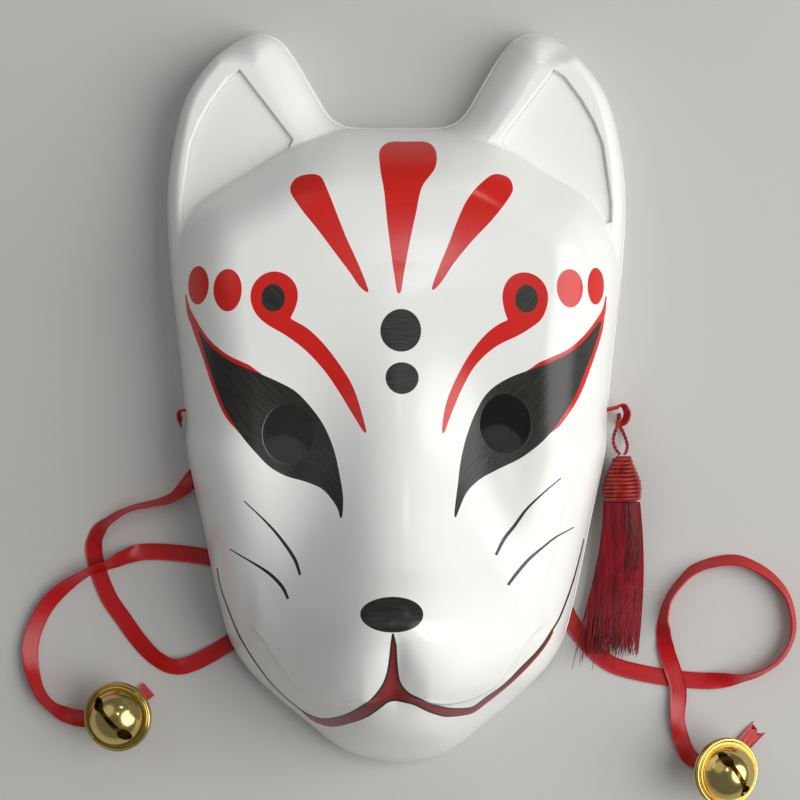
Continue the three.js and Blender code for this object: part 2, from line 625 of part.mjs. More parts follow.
// Skirt of the tassel: a bundle of threads that spreads and sinks towards its end
function tasselSkirt() {
  const rings = [];
  for (let k = 0; k <= SKIRT_STEPS; k += 1) {
    const t = k / SKIRT_STEPS;
    const width = mix(SKIRT_TOP_WIDTH, SKIRT_END_WIDTH, smooth(0, 1, t)) / 2;
    const height = mix(SKIRT_TOP_HEIGHT, SKIRT_END_HEIGHT, smooth(0, 0.8, t)) / 2;
    const lift = SKIRT_LIFT * smooth(0.55, 0.9, t) + FLOOR_GAP;
    const middle = SKIRT_SWAY * smooth(0, 1, t);
    const ring = [];
    for (let i = 0; i < TASSEL_SIDES; i += 1) {
      const angle = (2 * Math.PI * i) / TASSEL_SIDES;
      ring.push(new THREE.Vector3(
        middle + width * Math.cos(angle),
        -t * SKIRT_LENGTH,
        lift + height + height * Math.sin(angle),
      ));
    }
    rings.push(ring);
  }
  const faces = [];
  skin(rings, faces, false);
  for (const ring of [rings[0], [...rings[SKIRT_STEPS]].reverse()]) {
    const centre = ring.reduce((sum, p) => sum.add(p), new THREE.Vector3()).divideScalar(ring.length);
    ring.forEach((point, i) => faces.push(ring[(i + 1) % ring.length], point, centre));
  }
  return fromManifold(solidFromFaces(faces));
}

// The tassel hangs from the right ribbon's bow by a doubled cord.
function tassel() {
  const head = named('tassel_head', tasselHead(), silk);
  head.position.set(TASSEL_X, TASSEL_Y, TASSEL_HEAD_RADIUS + FLOOR_GAP);
  const skirt = named('tassel_skirt', tasselSkirt(), silk);
  skirt.position.set(TASSEL_X, TASSEL_Y - TASSEL_HEAD_LENGTH - GAP, 0);
  const points = TASSEL_CORD_ROUTE.map(([x, y, z]) => new THREE.Vector3(x, y, z));
  const cord = named('tassel_cord', roundCord(points, TASSEL_CORD, TASSEL_CORD_STEPS), silk);
  return [head, skirt, cord];
}

const group = new THREE.Group();
group.add(mask());
group.add(ribbon('ribbon_left', LEFT_ROUTE), ribbon('ribbon_right', RIGHT_ROUTE));
group.add(bell('left', ...LEFT_BELL), bell('right', ...RIGHT_BELL));
group.add(...tassel());

export default group;
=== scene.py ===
# %% [markdown]
# # A painted fox mask, lying on its back
#
# The real thing is one thin moulded shell of white plastic, painted by hand in red and black. Satin
# ribbons come out of a hole on each side, each ends in a brass jingle bell, and a silk tassel hangs
# at the right tie. The solids of the frame settle every size and place. Here each one is dressed in
# a fine mesh and a finish, with the camera straight above, where the picture was taken from.

import math

import bmesh
import bpy
import numpy as np
from mathutils import Matrix, Vector
from mathutils.geometry import delaunay_2d_cdt


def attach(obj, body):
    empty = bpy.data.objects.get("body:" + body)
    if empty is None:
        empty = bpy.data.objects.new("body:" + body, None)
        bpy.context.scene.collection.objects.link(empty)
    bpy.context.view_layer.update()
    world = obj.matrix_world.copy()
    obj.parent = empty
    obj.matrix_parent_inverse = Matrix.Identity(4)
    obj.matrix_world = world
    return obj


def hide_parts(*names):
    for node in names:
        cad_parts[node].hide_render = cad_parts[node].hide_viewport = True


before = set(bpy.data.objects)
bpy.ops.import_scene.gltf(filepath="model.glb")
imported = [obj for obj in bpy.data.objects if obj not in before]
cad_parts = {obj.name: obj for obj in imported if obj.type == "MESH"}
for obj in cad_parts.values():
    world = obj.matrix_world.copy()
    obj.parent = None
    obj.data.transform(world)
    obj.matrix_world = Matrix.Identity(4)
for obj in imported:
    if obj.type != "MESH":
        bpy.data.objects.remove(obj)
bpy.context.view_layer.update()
MM = 0.001
print("solids in the frame:", sorted(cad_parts))

# %% [markdown]
# ## The camera
#
# The picture looks straight down on the mask from an arm's length, so the sides of the shell hide
# behind its outline. A camera that is tilted or close by would show one side more than the other.
# It hangs above the middle of the mask, and its lens is worked out from the width that it sees on
# the floor.

# %% Hang the camera
CAMERA_HEIGHT = 760 * MM
CAMERA_X = 1.3 * MM
CAMERA_Y = -0.9 * MM
VIEW_WIDTH = 292.4 * MM
SENSOR_WIDTH = 36

camera_data = bpy.data.cameras.new("camera")
camera_data.sensor_width = SENSOR_WIDTH
camera_data.lens = SENSOR_WIDTH * CAMERA_HEIGHT / VIEW_WIDTH
camera_data.clip_start = 0.01
camera = bpy.data.objects.new("camera", camera_data)
camera.location = (CAMERA_X, CAMERA_Y, CAMERA_HEIGHT)
bpy.context.collection.objects.link(camera)
bpy.context.scene.camera = camera
print("lens:", round(camera_data.lens, 1), "mm")

# %% [markdown]
# ## Small tools for meshes
#
# Most pieces here are a line in space with a section swept along it, or a profile turned round an
# axis. Writing both once keeps each piece short. Every mesh is made from plain arrays of points and
# faces, which is quick and gives the same result on every run.

# %% Meshes from arrays
SHARP_ANGLE = 35


def smooth(mesh, sharp_angle=SHARP_ANGLE):
    """Shades a mesh smooth, and keeps the edges that turn by more than an angle sharp."""
    mesh.shade_smooth()
    mesh.set_sharp_from_angle(angle=math.radians(sharp_angle))


def mesh_object(name, points, faces, sharp_angle=SHARP_ANGLE):
    mesh = bpy.data.meshes.new(name)
    mesh.from_pydata([tuple(p) for p in points], [], [tuple(f) for f in faces])
    mesh.validate()
    smooth(mesh, sharp_angle)
    piece = bpy.data.objects.new(name, mesh)
    bpy.context.collection.objects.link(piece)
    return piece


def ring_faces(rings, sides, start=0, closed_ends=True):
    """Faces that join rings of the same number of points, one after another."""
    faces = []
    for k in range(rings - 1):
        for i in range(sides):
            a = start + k * sides + i
            b = start + k * sides + (i + 1) % sides
            faces.append((a, b, b + sides, a + sides))
    if closed_ends:
        faces.append([start + i for i in reversed(range(sides))])
        faces.append([start + (rings - 1) * sides + i for i in range(sides)])
    return faces


print("mesh tools ready")

# %% [markdown]
# ## Smooth lines
#
# A ribbon or a cord is laid through a few given points, and a smooth line runs through them all.
# The kind of line used here bends gently between points that lie at uneven distances, and doesn't
# overshoot where two of them are close.

# %% A line through points, and equal steps along it
CURVE_STEPS = 12
SMALLEST_GAP = 1e-4


def smooth_line(knots, closed=False, steps=CURVE_STEPS):
    knots = np.array(knots, float)
    if closed:
        before = np.roll(knots, 1, axis=0)
        after = np.roll(knots, -1, axis=0)
        later = np.roll(knots, -2, axis=0)
    else:
        first = 2 * knots[0] - knots[1]
        last = 2 * knots[-1] - knots[-2]
        padded = np.vstack([first, knots, last])
        before, after, later = padded[:-3], padded[2:-1], padded[3:]
        knots = padded[1:-2]
    gap = [np.sqrt(np.linalg.norm(b - a, axis=1))[:, None] for a, b in
           ((before, knots), (knots, after), (after, later))]
    gap = [np.maximum(g, SMALLEST_GAP) for g in gap]
    out = (knots - before) / gap[0] - (after - before) / (gap[0] + gap[1]) + (after - knots) / gap[1]
    home = (after - knots) / gap[1] - (later - knots) / (gap[1] + gap[2]) + (later - after) / gap[2]
    share = np.linspace(0, 1, steps, endpoint=False)[None, :, None]
    line = (
        (2 * share**3 - 3 * share**2 + 1) * knots[:, None]
        + (share**3 - 2 * share**2 + share) * (out * gap[1])[:, None]
        + (3 * share**2 - 2 * share**3) * after[:, None]
        + (share**3 - share**2) * (home * gap[1])[:, None]
    ).reshape(-1, knots.shape[1])
    return line if closed else np.vstack([line, after[-1]])


def even_steps(line, steps):
    """Points at equal steps along a line, and where each lies on it, from 0 to its last index."""
    run = np.concatenate([[0], np.cumsum(np.linalg.norm(np.diff(line, axis=0), axis=1))])
    places = np.interp(np.linspace(0, run[-1], steps + 1), run, np.arange(len(line)))
    columns = [np.interp(places, np.arange(len(line)), line[:, k]) for k in range(line.shape[1])]
    return np.column_stack(columns), places, run[-1]


def ease(low, high, value):
    """Rises gently from 0 to 1 while the value goes from low to high."""
    share = np.clip((value - low) / (high - low), 0, 1)
    return share * share * (3 - 2 * share)


print("line tools ready")

# %% [markdown]
# ## The ribbons
#
# Each is six-millimetre satin ribbon. Flat on the table it shows its full width, and where it rises
# on one edge the picture shows it narrow. So the route holds, for each point, how far the ribbon is
# turned: 0 lies flat, 90 stands on edge. A last number gathers it where it passes a hole or the wire
# loop of a bell. A cloth simulation would slide away from the bends that the picture shows, so the
# route is given point by point, and the ribbon is swept along it as a thin strip.

# %% The ribbons' routes, in millimetres
RIBBON_WIDTH = 6
RIBBON_THICKNESS = 0.5
GATHERED = 0.6
FLOOR_GAP = 0.22
OVER = 1.5
IN_LOOP = 2.5
TIE_HOLE_Z = 8.5


def lying(x, y, turn=0, lift=0, width=1):
    """A point of the route where the ribbon's lower edge lies on the table."""
    angle = math.radians(abs(turn))
    reach = (RIBBON_WIDTH * width * math.sin(angle) + RIBBON_THICKNESS * math.cos(angle)) / 2
    return (x, y, FLOOR_GAP + lift + reach, turn, width)


def held(x, y, z, turn=0, width=1):
    """A point of the route where the ribbon's middle hangs at a height."""
    return (x, y, z, turn, width)


LEFT_ROUTE = [
    held(-78.3, -9.4, 3.6, 78, 0.7), held(-78.9, -7, 6, 82, 0.7), held(-78.2, -4.9, 8.1, 84, GATHERED),
    held(-76, -4.5, TIE_HOLE_Z, 90, GATHERED), held(-71.6, -4.5, TIE_HOLE_Z, 85, GATHERED),
    held(-68.4, -10, 5.4, 40), held(-68, -18, 2, 10), lying(-69.6, -23.5), lying(-72.9, -28),
    lying(-81.7, -36.4, 60), lying(-89, -38.6, 74), lying(-96.7, -40.4, 76), lying(-104, -44.4, 64),
    lying(-109.1, -49.8, 28), lying(-110.4, -56.5), lying(-105.4, -72.2), lying(-99.6, -81),
    lying(-93.4, -89.4, 8), lying(-87.5, -95.2, 18), lying(-81.7, -98.1, 18), lying(-75.5, -97.4, 8),
    lying(-60.1, -89), lying(-51, -82), lying(-47, -74), lying(-51, -65.5), lying(-58.5, -61.2),
    lying(-76.2, -57.2, 0, 0.2), lying(-93.4, -56.5, 0, 0.5), lying(-99.6, -58.4, -35, 0.8),
    lying(-105.5, -61.2, -60, OVER), lying(-112.8, -63.8, -64, 0.9), lying(-127, -75.1, -30),
    lying(-133.6, -91.6, -25), lying(-129.9, -107.3, -64), lying(-125.5, -112.4, -68),
    lying(-119.7, -115.8, -35, 0.4),
    lying(-112.5, -117.2, 0, 1.3), lying(-106, -116.2, 0, 2.2, 0.8),
    lying(-99.8, -114.3, 0, IN_LOOP, GATHERED), lying(-90.4, -106.4),
]
RIGHT_ROUTE = [
    held(79.6, -9.6, 5.2, -70, 0.8), held(82.6, -8.9, 5.6, -70, 0.9), held(83.8, -5.6, 6.2, -70, 0.9),
    held(82.2, -2.8, 7.2, -75, 0.8), held(79.2, -3.6, 8.3, -80, GATHERED),
    held(75, -4.5, TIE_HOLE_Z, -80, GATHERED), held(71.6, -4.8, 8.1, -60, GATHERED),
    held(68.4, -7.4, 6.6, -20, 0.8), held(66.2, -13, 4.2, -20), held(65, -20, 1.8, -10),
    lying(63.5, -30), lying(59.4, -54), lying(58.4, -65), lying(60.4, -74),
    lying(65.2, -84), lying(76.6, -96.3), lying(90.1, -100.7, 0, 0.1), lying(112.4, -103.4, 0, 0.35),
    lying(128.1, -101.8, 62), lying(135.4, -98.8, 68), lying(140.9, -94, 66), lying(144.6, -85, 66),
    lying(142.7, -73.3, 66), lying(138, -66.7, 62), lying(131.4, -62, 58), lying(123.4, -59.2, 58),
    lying(109.5, -62, 66), lying(103.3, -67.4, 74), lying(99.2, -73.3, 76), lying(97.4, -79.5, 66),
    lying(97.4, -86.1, 40), lying(98.6, -92.6, 12, 0.5), lying(100.8, -99.4, 0, OVER),
    lying(102.7, -106, 0, OVER - 0.2), lying(102.5, -117.5, -25), lying(104, -124.8, -12),
    lying(106.6, -130.6, -5, 0.8), lying(111.5, -133.6, 0, 2, 0.8),
    lying(118.1, -134.3, 0, IN_LOOP, 0.5), lying(130.6, -122.4),
]
print("route points:", len(LEFT_ROUTE), "and", len(RIGHT_ROUTE))

# %% Sweep a ribbon along its route
RIBBON_STEP = 0.8
RIBBON_ACROSS = 12
CLOTH_THICKNESS = 0.3
SELVAGE = 0.12
SELVAGE_START = 0.9
PLEATS = 3
PLEAT_HEIGHT = 0.8
STRAIGHT_CUT = [0, 0]
JAGGED_CUT = [2.8, 0.2, 1.7, 0.1, 3]


def follow(route):
    """The ribbon's middle line at even steps, its sideways and upward directions, and its width."""
    route = np.array(route)
    line = smooth_line(route[:, :3])
    steps = int(np.linalg.norm(np.diff(line, axis=0), axis=1).sum() / RIBBON_STEP)
    middle, places, length = even_steps(line, steps)
    knot = places / CURVE_STEPS
    low = np.clip(knot.astype(int), 0, len(route) - 2)
    blend = ease(0, 1, knot - low)
    turn = np.radians(route[low, 3] * (1 - blend) + route[low + 1, 3] * blend)
    width = route[low, 4] * (1 - blend) + route[low + 1, 4] * blend
    along = np.gradient(middle, axis=0)
    along /= np.linalg.norm(along, axis=1)[:, None]
    level = np.column_stack([along[:, 1], -along[:, 0], np.zeros(len(along))])
    level /= np.linalg.norm(level, axis=1)[:, None]
    upright = np.cross(along, level)
    across = level * np.cos(turn)[:, None] + upright * np.sin(turn)[:, None]
    return middle, along, across, np.cross(along, across), width, length


def ribbon(name, route, node, cut):
    """Sweeps a ribbon. The cut says how far its last edge reaches, from one side to the other."""
    middle, along, across, face, width, length = follow(route)
    share = np.linspace(-1, 1, RIBBON_ACROSS + 1)
    edge = (np.abs(share) > SELVAGE_START) * SELVAGE
    pleats = PLEAT_HEIGHT * (1 - width)[:, None] * np.cos(PLEATS * np.pi * share)[None, :]
    top = CLOTH_THICKNESS / 2 + edge[None, :] + pleats
    bottom = -CLOTH_THICKNESS / 2 - edge[None, :] + pleats
    side = (RIBBON_WIDTH / 2 * width)[:, None] * share[None, :]
    half = [middle[:, None] + across[:, None] * side[..., None] + face[:, None] * height[..., None]
            for height in (top, bottom)]
    points = np.concatenate([half[0], half[1][:, ::-1]], axis=1)
    teeth = np.interp(share, np.linspace(-1, 1, len(cut)), cut)
    points[-1] += np.concatenate([teeth, teeth[::-1]])[:, None] * along[-1]
    sides = points.shape[1]
    faces = ring_faces(len(points), sides)
    piece = mesh_object(name, points.reshape(-1, 3) * MM, faces, sharp_angle=50)
    weave = piece.data.uv_layers.new(name="weave")
    across_at = np.concatenate([share, share[::-1]]) * RIBBON_WIDTH / 2
    along_at = np.linspace(0, length, len(points))
    corner = np.zeros(len(piece.data.loops), int)
    piece.data.loops.foreach_get("vertex_index", corner)
    flat = np.column_stack([across_at[corner % sides], along_at[corner // sides]])
    weave.data.foreach_set("uv", flat.ravel())
    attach(piece, "root")
    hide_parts(node)
    print(name, "is", round(length), "mm long, with", len(faces), "faces")
    return piece, middle * MM


left_ribbon, left_line = ribbon("left_satin_ribbon", LEFT_ROUTE, "ribbon_left", STRAIGHT_CUT)
right_ribbon, right_line = ribbon("right_satin_ribbon", RIGHT_ROUTE, "ribbon_right", JAGGED_CUT)

# %% [markdown]
# ## The bells
#
# A jingle bell is stamped from sheet brass in two halves, and the rim of one is rolled over the
# other into a bead. The face half has a slit that ends in two oval holes. Here each half is a
# profile turned round the bell's axis, with the wall's true thickness, and the slit and its holes are
# cut out of the dome, so that light falls inside and the cut edges catch it.

# %% Bell sizes, in millimetres
BELL_RADIUS = 10.2
BELL_WALL = 0.7
FLANGE_RADIUS = 12.4
BEAD_RADIUS = 0.62
BEAD_ARC = (-60, 180, 14)
PLAIN_FLANGE = 0.8
BEADED_FLANGE = 0.45
DOME_STEPS = 20
FLANGE_CORNER = 0.1
DOME_FILLET = 0.5
FILLET_RISE = 0.12
HALF_GAP = 0.15
SLOT_WIDTH = 1.8
SLOT_LENGTH = 14
SLOT_HOLE = 4
SLOT_HOLE_LENGTH = 4.9
SLOT_HOLE_SIDES = 24
SLOT_FLOOR = 0.6
SLOT_TOP = 1.3 * BELL_RADIUS
LOOP_WIRE = 1.2
LOOP_RADIUS = 3.1
LOOP_LEG = 0.9
LOOP_STEPS = 25
GAP = 0.3
BELL_SIDES = 72
BELL_HEIGHT = FLOOR_GAP + LOOP_WIRE / 2 + LOOP_RADIUS + LOOP_LEG + GAP + BELL_RADIUS


def arc(radius, start, end, count, centre=(0, 0)):
    """Points on an arc of a profile, as radius and height. Angles are in degrees from the axis."""
    angle = np.radians(np.linspace(start, end, count))
    return np.column_stack([centre[0] + radius * np.sin(angle), centre[1] + radius * np.cos(angle)])


def turned(profile, sides=BELL_SIDES):
    """A profile that starts and ends on the axis, turned round it."""
    angle = 2 * np.pi * np.arange(sides) / sides
    rings = [[(r * math.cos(a), r * math.sin(a), h) for a in angle] for r, h in profile[1:-1]]
    points = [p for ring in rings for p in ring]
    faces = ring_faces(len(rings), sides, closed_ends=False)
    points += [(0, 0, profile[0][1]), (0, 0, profile[-1][1])]
    last = (len(rings) - 1) * sides
    for i in range(sides):
        after = (i + 1) % sides
        faces.append((len(points) - 2, after, i))
        faces.append((len(points) - 1, last + i, last + after))
    return np.array(points), faces


print("a bell stands", round(BELL_HEIGHT, 1), "mm over the floor")

# %% The profile of a half
def half_profile(beaded):
    inside = BELL_RADIUS - BELL_WALL
    floor_angle = math.degrees(math.acos(HALF_GAP / inside))
    flange_top = HALF_GAP + (BEADED_FLANGE if beaded else PLAIN_FLANGE)
    dome_angle = math.degrees(math.acos((flange_top + DOME_FILLET) / BELL_RADIUS))
    if beaded:
        bead_x = FLANGE_RADIUS - BEAD_RADIUS
        bead = arc(BEAD_RADIUS, *BEAD_ARC, (bead_x, HALF_GAP + BEAD_RADIUS))
        rim = [(bead_x, HALF_GAP), *bead[::-1]]
    else:
        rim = [(FLANGE_RADIUS, HALF_GAP), (FLANGE_RADIUS, flange_top - FLANGE_CORNER),
               (FLANGE_RADIUS - FLANGE_CORNER, flange_top)]
    fillet = [(BELL_RADIUS + DOME_FILLET, flange_top),
              (BELL_RADIUS + 0.3 * DOME_FILLET, flange_top + FILLET_RISE)]
    inner_dome = arc(inside, 0, floor_angle, DOME_STEPS)
    outer_dome = arc(BELL_RADIUS, dome_angle, 0, DOME_STEPS + 2)
    return np.vstack([inner_dome, rim, fillet, outer_dome])


print("profile of the slotted half:", len(half_profile(True)), "points")

# %% Cut the slit
def cut_slit(piece):
    """Cuts the slit and the oval hole at each end of it out of a dome."""
    open_angle = math.asin(SLOT_WIDTH / SLOT_HOLE)
    sweep = np.linspace(-np.pi + open_angle, np.pi - open_angle, SLOT_HOLE_SIDES)
    oval_end = [((SLOT_LENGTH + SLOT_HOLE_LENGTH * math.cos(a)) / 2, SLOT_HOLE / 2 * math.sin(a))
                for a in sweep]
    outline = [(end * x, end * y) for end in (1, -1) for x, y in oval_end]
    points = [(x, y, z) for z in (SLOT_FLOOR, SLOT_TOP) for x, y in outline]
    cutter = mesh_object("slit_cutter", points, ring_faces(2, len(outline)))
    cut = piece.modifiers.new("slit", "BOOLEAN")
    cut.object = cutter
    cut.solver = "EXACT"
    bpy.context.view_layer.update()
    shape = bpy.data.meshes.new_from_object(piece.evaluated_get(bpy.context.evaluated_depsgraph_get()))
    piece.modifiers.clear()
    piece.data = shape
    bpy.data.objects.remove(cutter)


print("the slit is", SLOT_LENGTH, "mm long between its holes")

# %% Tubes, turns and places
NEARLY_UPRIGHT = 0.9


def round_tube(line, radius, sides=12):
    """Points and faces of a tube along a line. radius may be one number or one for each point."""
    along = np.gradient(line, axis=0)
    along /= np.linalg.norm(along, axis=1)[:, None]
    side = np.cross(along[0], (0, 0, 1) if abs(along[0][2]) < NEARLY_UPRIGHT else (0, 1, 0))
    sides_at = []
    for step in along:
        side = side - step * side.dot(step)
        side = side / np.linalg.norm(side)
        sides_at.append(side)
    across = np.array(sides_at)
    other = np.cross(along, across)
    radius = np.broadcast_to(np.asarray(radius, float), (len(line),))
    angle = 2 * np.pi * np.arange(sides) / sides
    points = (line[:, None] + radius[:, None, None]
              * (across[:, None] * np.cos(angle)[:, None] + other[:, None] * np.sin(angle)[:, None]))
    return points.reshape(-1, 3), ring_faces(len(line), sides)


def place(piece, shape):
    """Moves a mesh's points, in millimetres, to where the piece lies, in metres."""
    points = np.zeros(len(piece.data.vertices) * 3)
    piece.data.vertices.foreach_get("co", points)
    piece.data.vertices.foreach_set("co", (shape(points.reshape(-1, 3)) * MM).ravel())
    piece.data.update()


def turn_about(axis, angle):
    return np.array(Matrix.Rotation(angle, 3, axis))


print("tube tools ready")

# %% Two bells
def bell(side, x, y, lean, slot_turn, loop_turn):
    """Two halves that lean together, and a loop that stands up under them."""
    centre = np.array([x, y, BELL_HEIGHT])
    tilt, spin, turn = turn_about("Y", lean), turn_about("Z", slot_turn), turn_about("Z", loop_turn)
    points, faces = turned(half_profile(beaded=True))
    front = mesh_object(f"{side}_bell_slotted_half", points, faces)
    cut_slit(front)
    smooth(front.data)
    place(front, lambda p: p @ spin.T @ tilt.T + centre)
    points, faces = turned(half_profile(beaded=False))
    back = mesh_object(f"{side}_bell_crown_half", points * (1, -1, -1), faces)
    place(back, lambda p: p @ tilt.T + centre)

    angle = np.linspace(0, np.pi, LOOP_STEPS)
    legs = -BELL_RADIUS - GAP
    depth = legs - LOOP_LEG - LOOP_RADIUS * np.sin(angle)
    wire = np.column_stack([0 * angle, -LOOP_RADIUS * np.cos(angle), depth])
    wire = np.vstack([(0, -LOOP_RADIUS, legs), wire, (0, LOOP_RADIUS, legs)])
    points, faces = round_tube(wire @ turn.T, LOOP_WIRE / 2)
    loop = mesh_object(f"{side}_bell_wire_loop", points, faces)
    place(loop, lambda p: p + centre)
    for piece, node in ((front, "front"), (back, "back"), (loop, "loop")):
        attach(piece, "root")
        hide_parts(f"{side}_bell_{node}")
    print(side, "bell:", sum(len(p.data.polygons) for p in (front, back, loop)), "faces")
    return [front, back, loop]


left_bell = bell("left", -99.8, -114.3, -0.19, -0.83, 0.42)
right_bell = bell("right", 118.1, -134.2, 0.34, -1.0, 0.16)

# %% [markdown]
# ## The tassel
#
# A tassel is a bundle of silk threads, folded over a cord and bound. Here a fine cord is wound ten
# times round its head, and the threads hang below it as a skirt. Hair particles would be lost when
# the model is exported, so every lock of threads is a thin tube of its own, round a plain core that
# fills the middle. The tassel lies on the table, so its skirt is flat and wide at the end.

# %% Tassel sizes and the wound head
TASSEL_HEAD_LENGTH = 16.4
TASSEL_HEAD_RADIUS = 7
HALF_WIDTH = 83.5
HALF_LENGTH = 132.5
TASSEL_X = 0.895 * HALF_WIDTH + TASSEL_HEAD_RADIUS
TASSEL_Y = -0.16 * HALF_LENGTH
HEAD_PROFILE = [(0, 0), (0, 0.44), (0.21, 0.62), (0.38, 0.8), (0.56, 0.96), (0.74, 1), (0.93, 0.96),
                (1, 0.88), (1, 0)]
HEAD_TURNS = 10.5
WOUND_CORD = 1.5
STEPS_PER_TURN = 40
STEPS_PER_PLY = 2.5
PLY_RELIEF = 0.14
HEAD_CORE_RINGS = 24
HEAD_CORE_SIDES = 32


def head_radius(along):
    places = [p for p, _ in HEAD_PROFILE[1:-1]]
    return np.interp(along, places, [r for _, r in HEAD_PROFILE[1:-1]]) * TASSEL_HEAD_RADIUS


def to_tassel(points):
    """From the tassel's own frame, with its length along +Z, to where it lies."""
    points = np.asarray(points)
    lift = TASSEL_HEAD_RADIUS + FLOOR_GAP
    return np.column_stack([TASSEL_X + points[:, 0], TASSEL_Y - points[:, 2], lift + points[:, 1]])


share = np.linspace(0, 1, int(HEAD_TURNS * STEPS_PER_TURN))
turn = 2 * np.pi * HEAD_TURNS * share
along = WOUND_CORD / 2 + share * (TASSEL_HEAD_LENGTH - WOUND_CORD)
radius = head_radius(along / TASSEL_HEAD_LENGTH) - WOUND_CORD / 2
winding = np.column_stack([radius * np.cos(turn), radius * np.sin(turn), along])
ply = 1 + PLY_RELIEF * np.cos(2 * np.pi * np.arange(len(share)) / STEPS_PER_PLY)
head_points, head_faces = round_tube(winding, WOUND_CORD / 2 * ply, sides=10)
core_share = np.linspace(0, 1, HEAD_CORE_RINGS)
core_line = np.column_stack([0 * core_share, 0 * core_share, core_share * TASSEL_HEAD_LENGTH])
core_radius = head_radius(core_share) - 0.6 * WOUND_CORD
core_points, core_faces = round_tube(core_line, core_radius, HEAD_CORE_SIDES)
core_faces = [[i + len(head_points) for i in face] for face in core_faces]
tassel_head = mesh_object("tassel_wound_head", to_tassel(np.vstack([head_points, core_points])) * MM,
                          head_faces + core_faces, sharp_angle=60)
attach(tassel_head, "root")
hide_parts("tassel_head")
print("wound head:", len(tassel_head.data.polygons), "faces")

# %% The skirt of threads
SKIRT_LENGTH = 56
SKIRT_TOP_WIDTH = 13.4
SKIRT_END_WIDTH = 20
SKIRT_TOP_HEIGHT = 11.4
SKIRT_END_HEIGHT = 4.4
SKIRT_SWAY = -3.4
SKIRT_FLAT_FROM = 0.8
SKIRT_LIFT = 1.6
SKIRT_LIFT_SPAN = (0.55, 0.9)
SKIRT_BULGE = 0.9
THREADS = 640
THREAD_STEPS = 16
THREAD_RADIUS = 0.26
THREAD_SIDES = 5
THREAD_TAPER = 0.6
SKIN_DEPTH = 0.96
INNER_DEPTH_SQUARED = (0.2, 0.9)
SHORT_EVERY = 3
LONG_REACH = (0.84, 1)
SHORT_REACH = (0.62, 0.95)
WANDER = 0.34
WAVE = 0.09
WAVE_RATE = (3, 8)
STRAYS = 40
STRAY_REACH = 0.1
STRAY_SIDEWAYS = (-6, 1.5)
CORE_REACH = 0.88
CORE_RINGS = 20
CORE_SIDES = 24
CORE_DEPTH = (0.84, 0.59)


def skirt_point(share, angle, depth):
    """A point of the skirt: share along it, angle round it, and depth from its middle to its skin."""
    width = (SKIRT_TOP_WIDTH + (SKIRT_END_WIDTH - SKIRT_TOP_WIDTH) * ease(0, 1, share)) / 2
    height = (SKIRT_TOP_HEIGHT + (SKIRT_END_HEIGHT - SKIRT_TOP_HEIGHT) * ease(0, SKIRT_FLAT_FROM, share)) / 2
    bulge = SKIRT_BULGE * np.sin(np.pi * np.minimum(share, 1))
    width += bulge
    middle_x = TASSEL_X + SKIRT_SWAY * ease(0, 1, share) + bulge
    middle_z = FLOOR_GAP + height + SKIRT_LIFT * ease(*SKIRT_LIFT_SPAN, share)
    start = TASSEL_Y - TASSEL_HEAD_LENGTH - GAP
    return np.stack([
        middle_x + depth * width * np.cos(angle),
        start - share * SKIRT_LENGTH + 0 * angle,
        middle_z + depth * height * np.sin(angle),
    ], axis=-1)


print("the skirt hangs", SKIRT_LENGTH, "mm below the head")

# %% Lay the threads
draw = np.random.default_rng(7)
skirt_points = []
skirt_faces = []
total = 0
for k in range(THREADS):
    stray = k < STRAYS
    at_skin = k % SHORT_EVERY > 0
    depth = SKIN_DEPTH if at_skin else math.sqrt(draw.uniform(*INNER_DEPTH_SQUARED))
    angle = 2 * np.pi * draw.uniform()
    reach = draw.uniform(*(LONG_REACH if at_skin else SHORT_REACH)) + STRAY_REACH * stray
    share = np.linspace(0, reach, THREAD_STEPS)
    wander = draw.normal(0, WANDER) * share**1.5
    wave = WAVE * np.sin(share * draw.uniform(*WAVE_RATE) + draw.uniform(0, 6)) * ease(0, 0.3, share)
    line = skirt_point(share, angle + wander + wave, depth * (1 - 0.02 * share))
    if stray:
        line[:, 0] += draw.uniform(*STRAY_SIDEWAYS) * share**3
        line[:, 2] += (THREAD_RADIUS + FLOOR_GAP - np.minimum(line[:, 2], 1)) * (line[:, 2] < 1)
    taper = THREAD_RADIUS * (1 - THREAD_TAPER * ease(0.5, 1, share / reach))
    points, faces = round_tube(line, taper, THREAD_SIDES)
    skirt_points.append(points)
    skirt_faces += [[i + total for i in face] for face in faces]
    total += len(points)
angle = 2 * np.pi * np.arange(CORE_SIDES) / CORE_SIDES
core_top, core_end = CORE_DEPTH
core = np.array([skirt_point(share, angle, core_top + (core_end - core_top) * share**3)
                 for share in np.linspace(0, CORE_REACH, CORE_RINGS)])
skirt_faces += [[i + total for i in face] for face in ring_faces(CORE_RINGS, CORE_SIDES)]
skirt_points.append(core.reshape(-1, 3))
tassel_skirt = mesh_object("tassel_silk_threads", np.vstack(skirt_points) * MM, skirt_faces, sharp_angle=80)
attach(tassel_skirt, "root")
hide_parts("tassel_skirt")
print("skirt:", THREADS, "threads,", len(tassel_skirt.data.polygons), "faces")

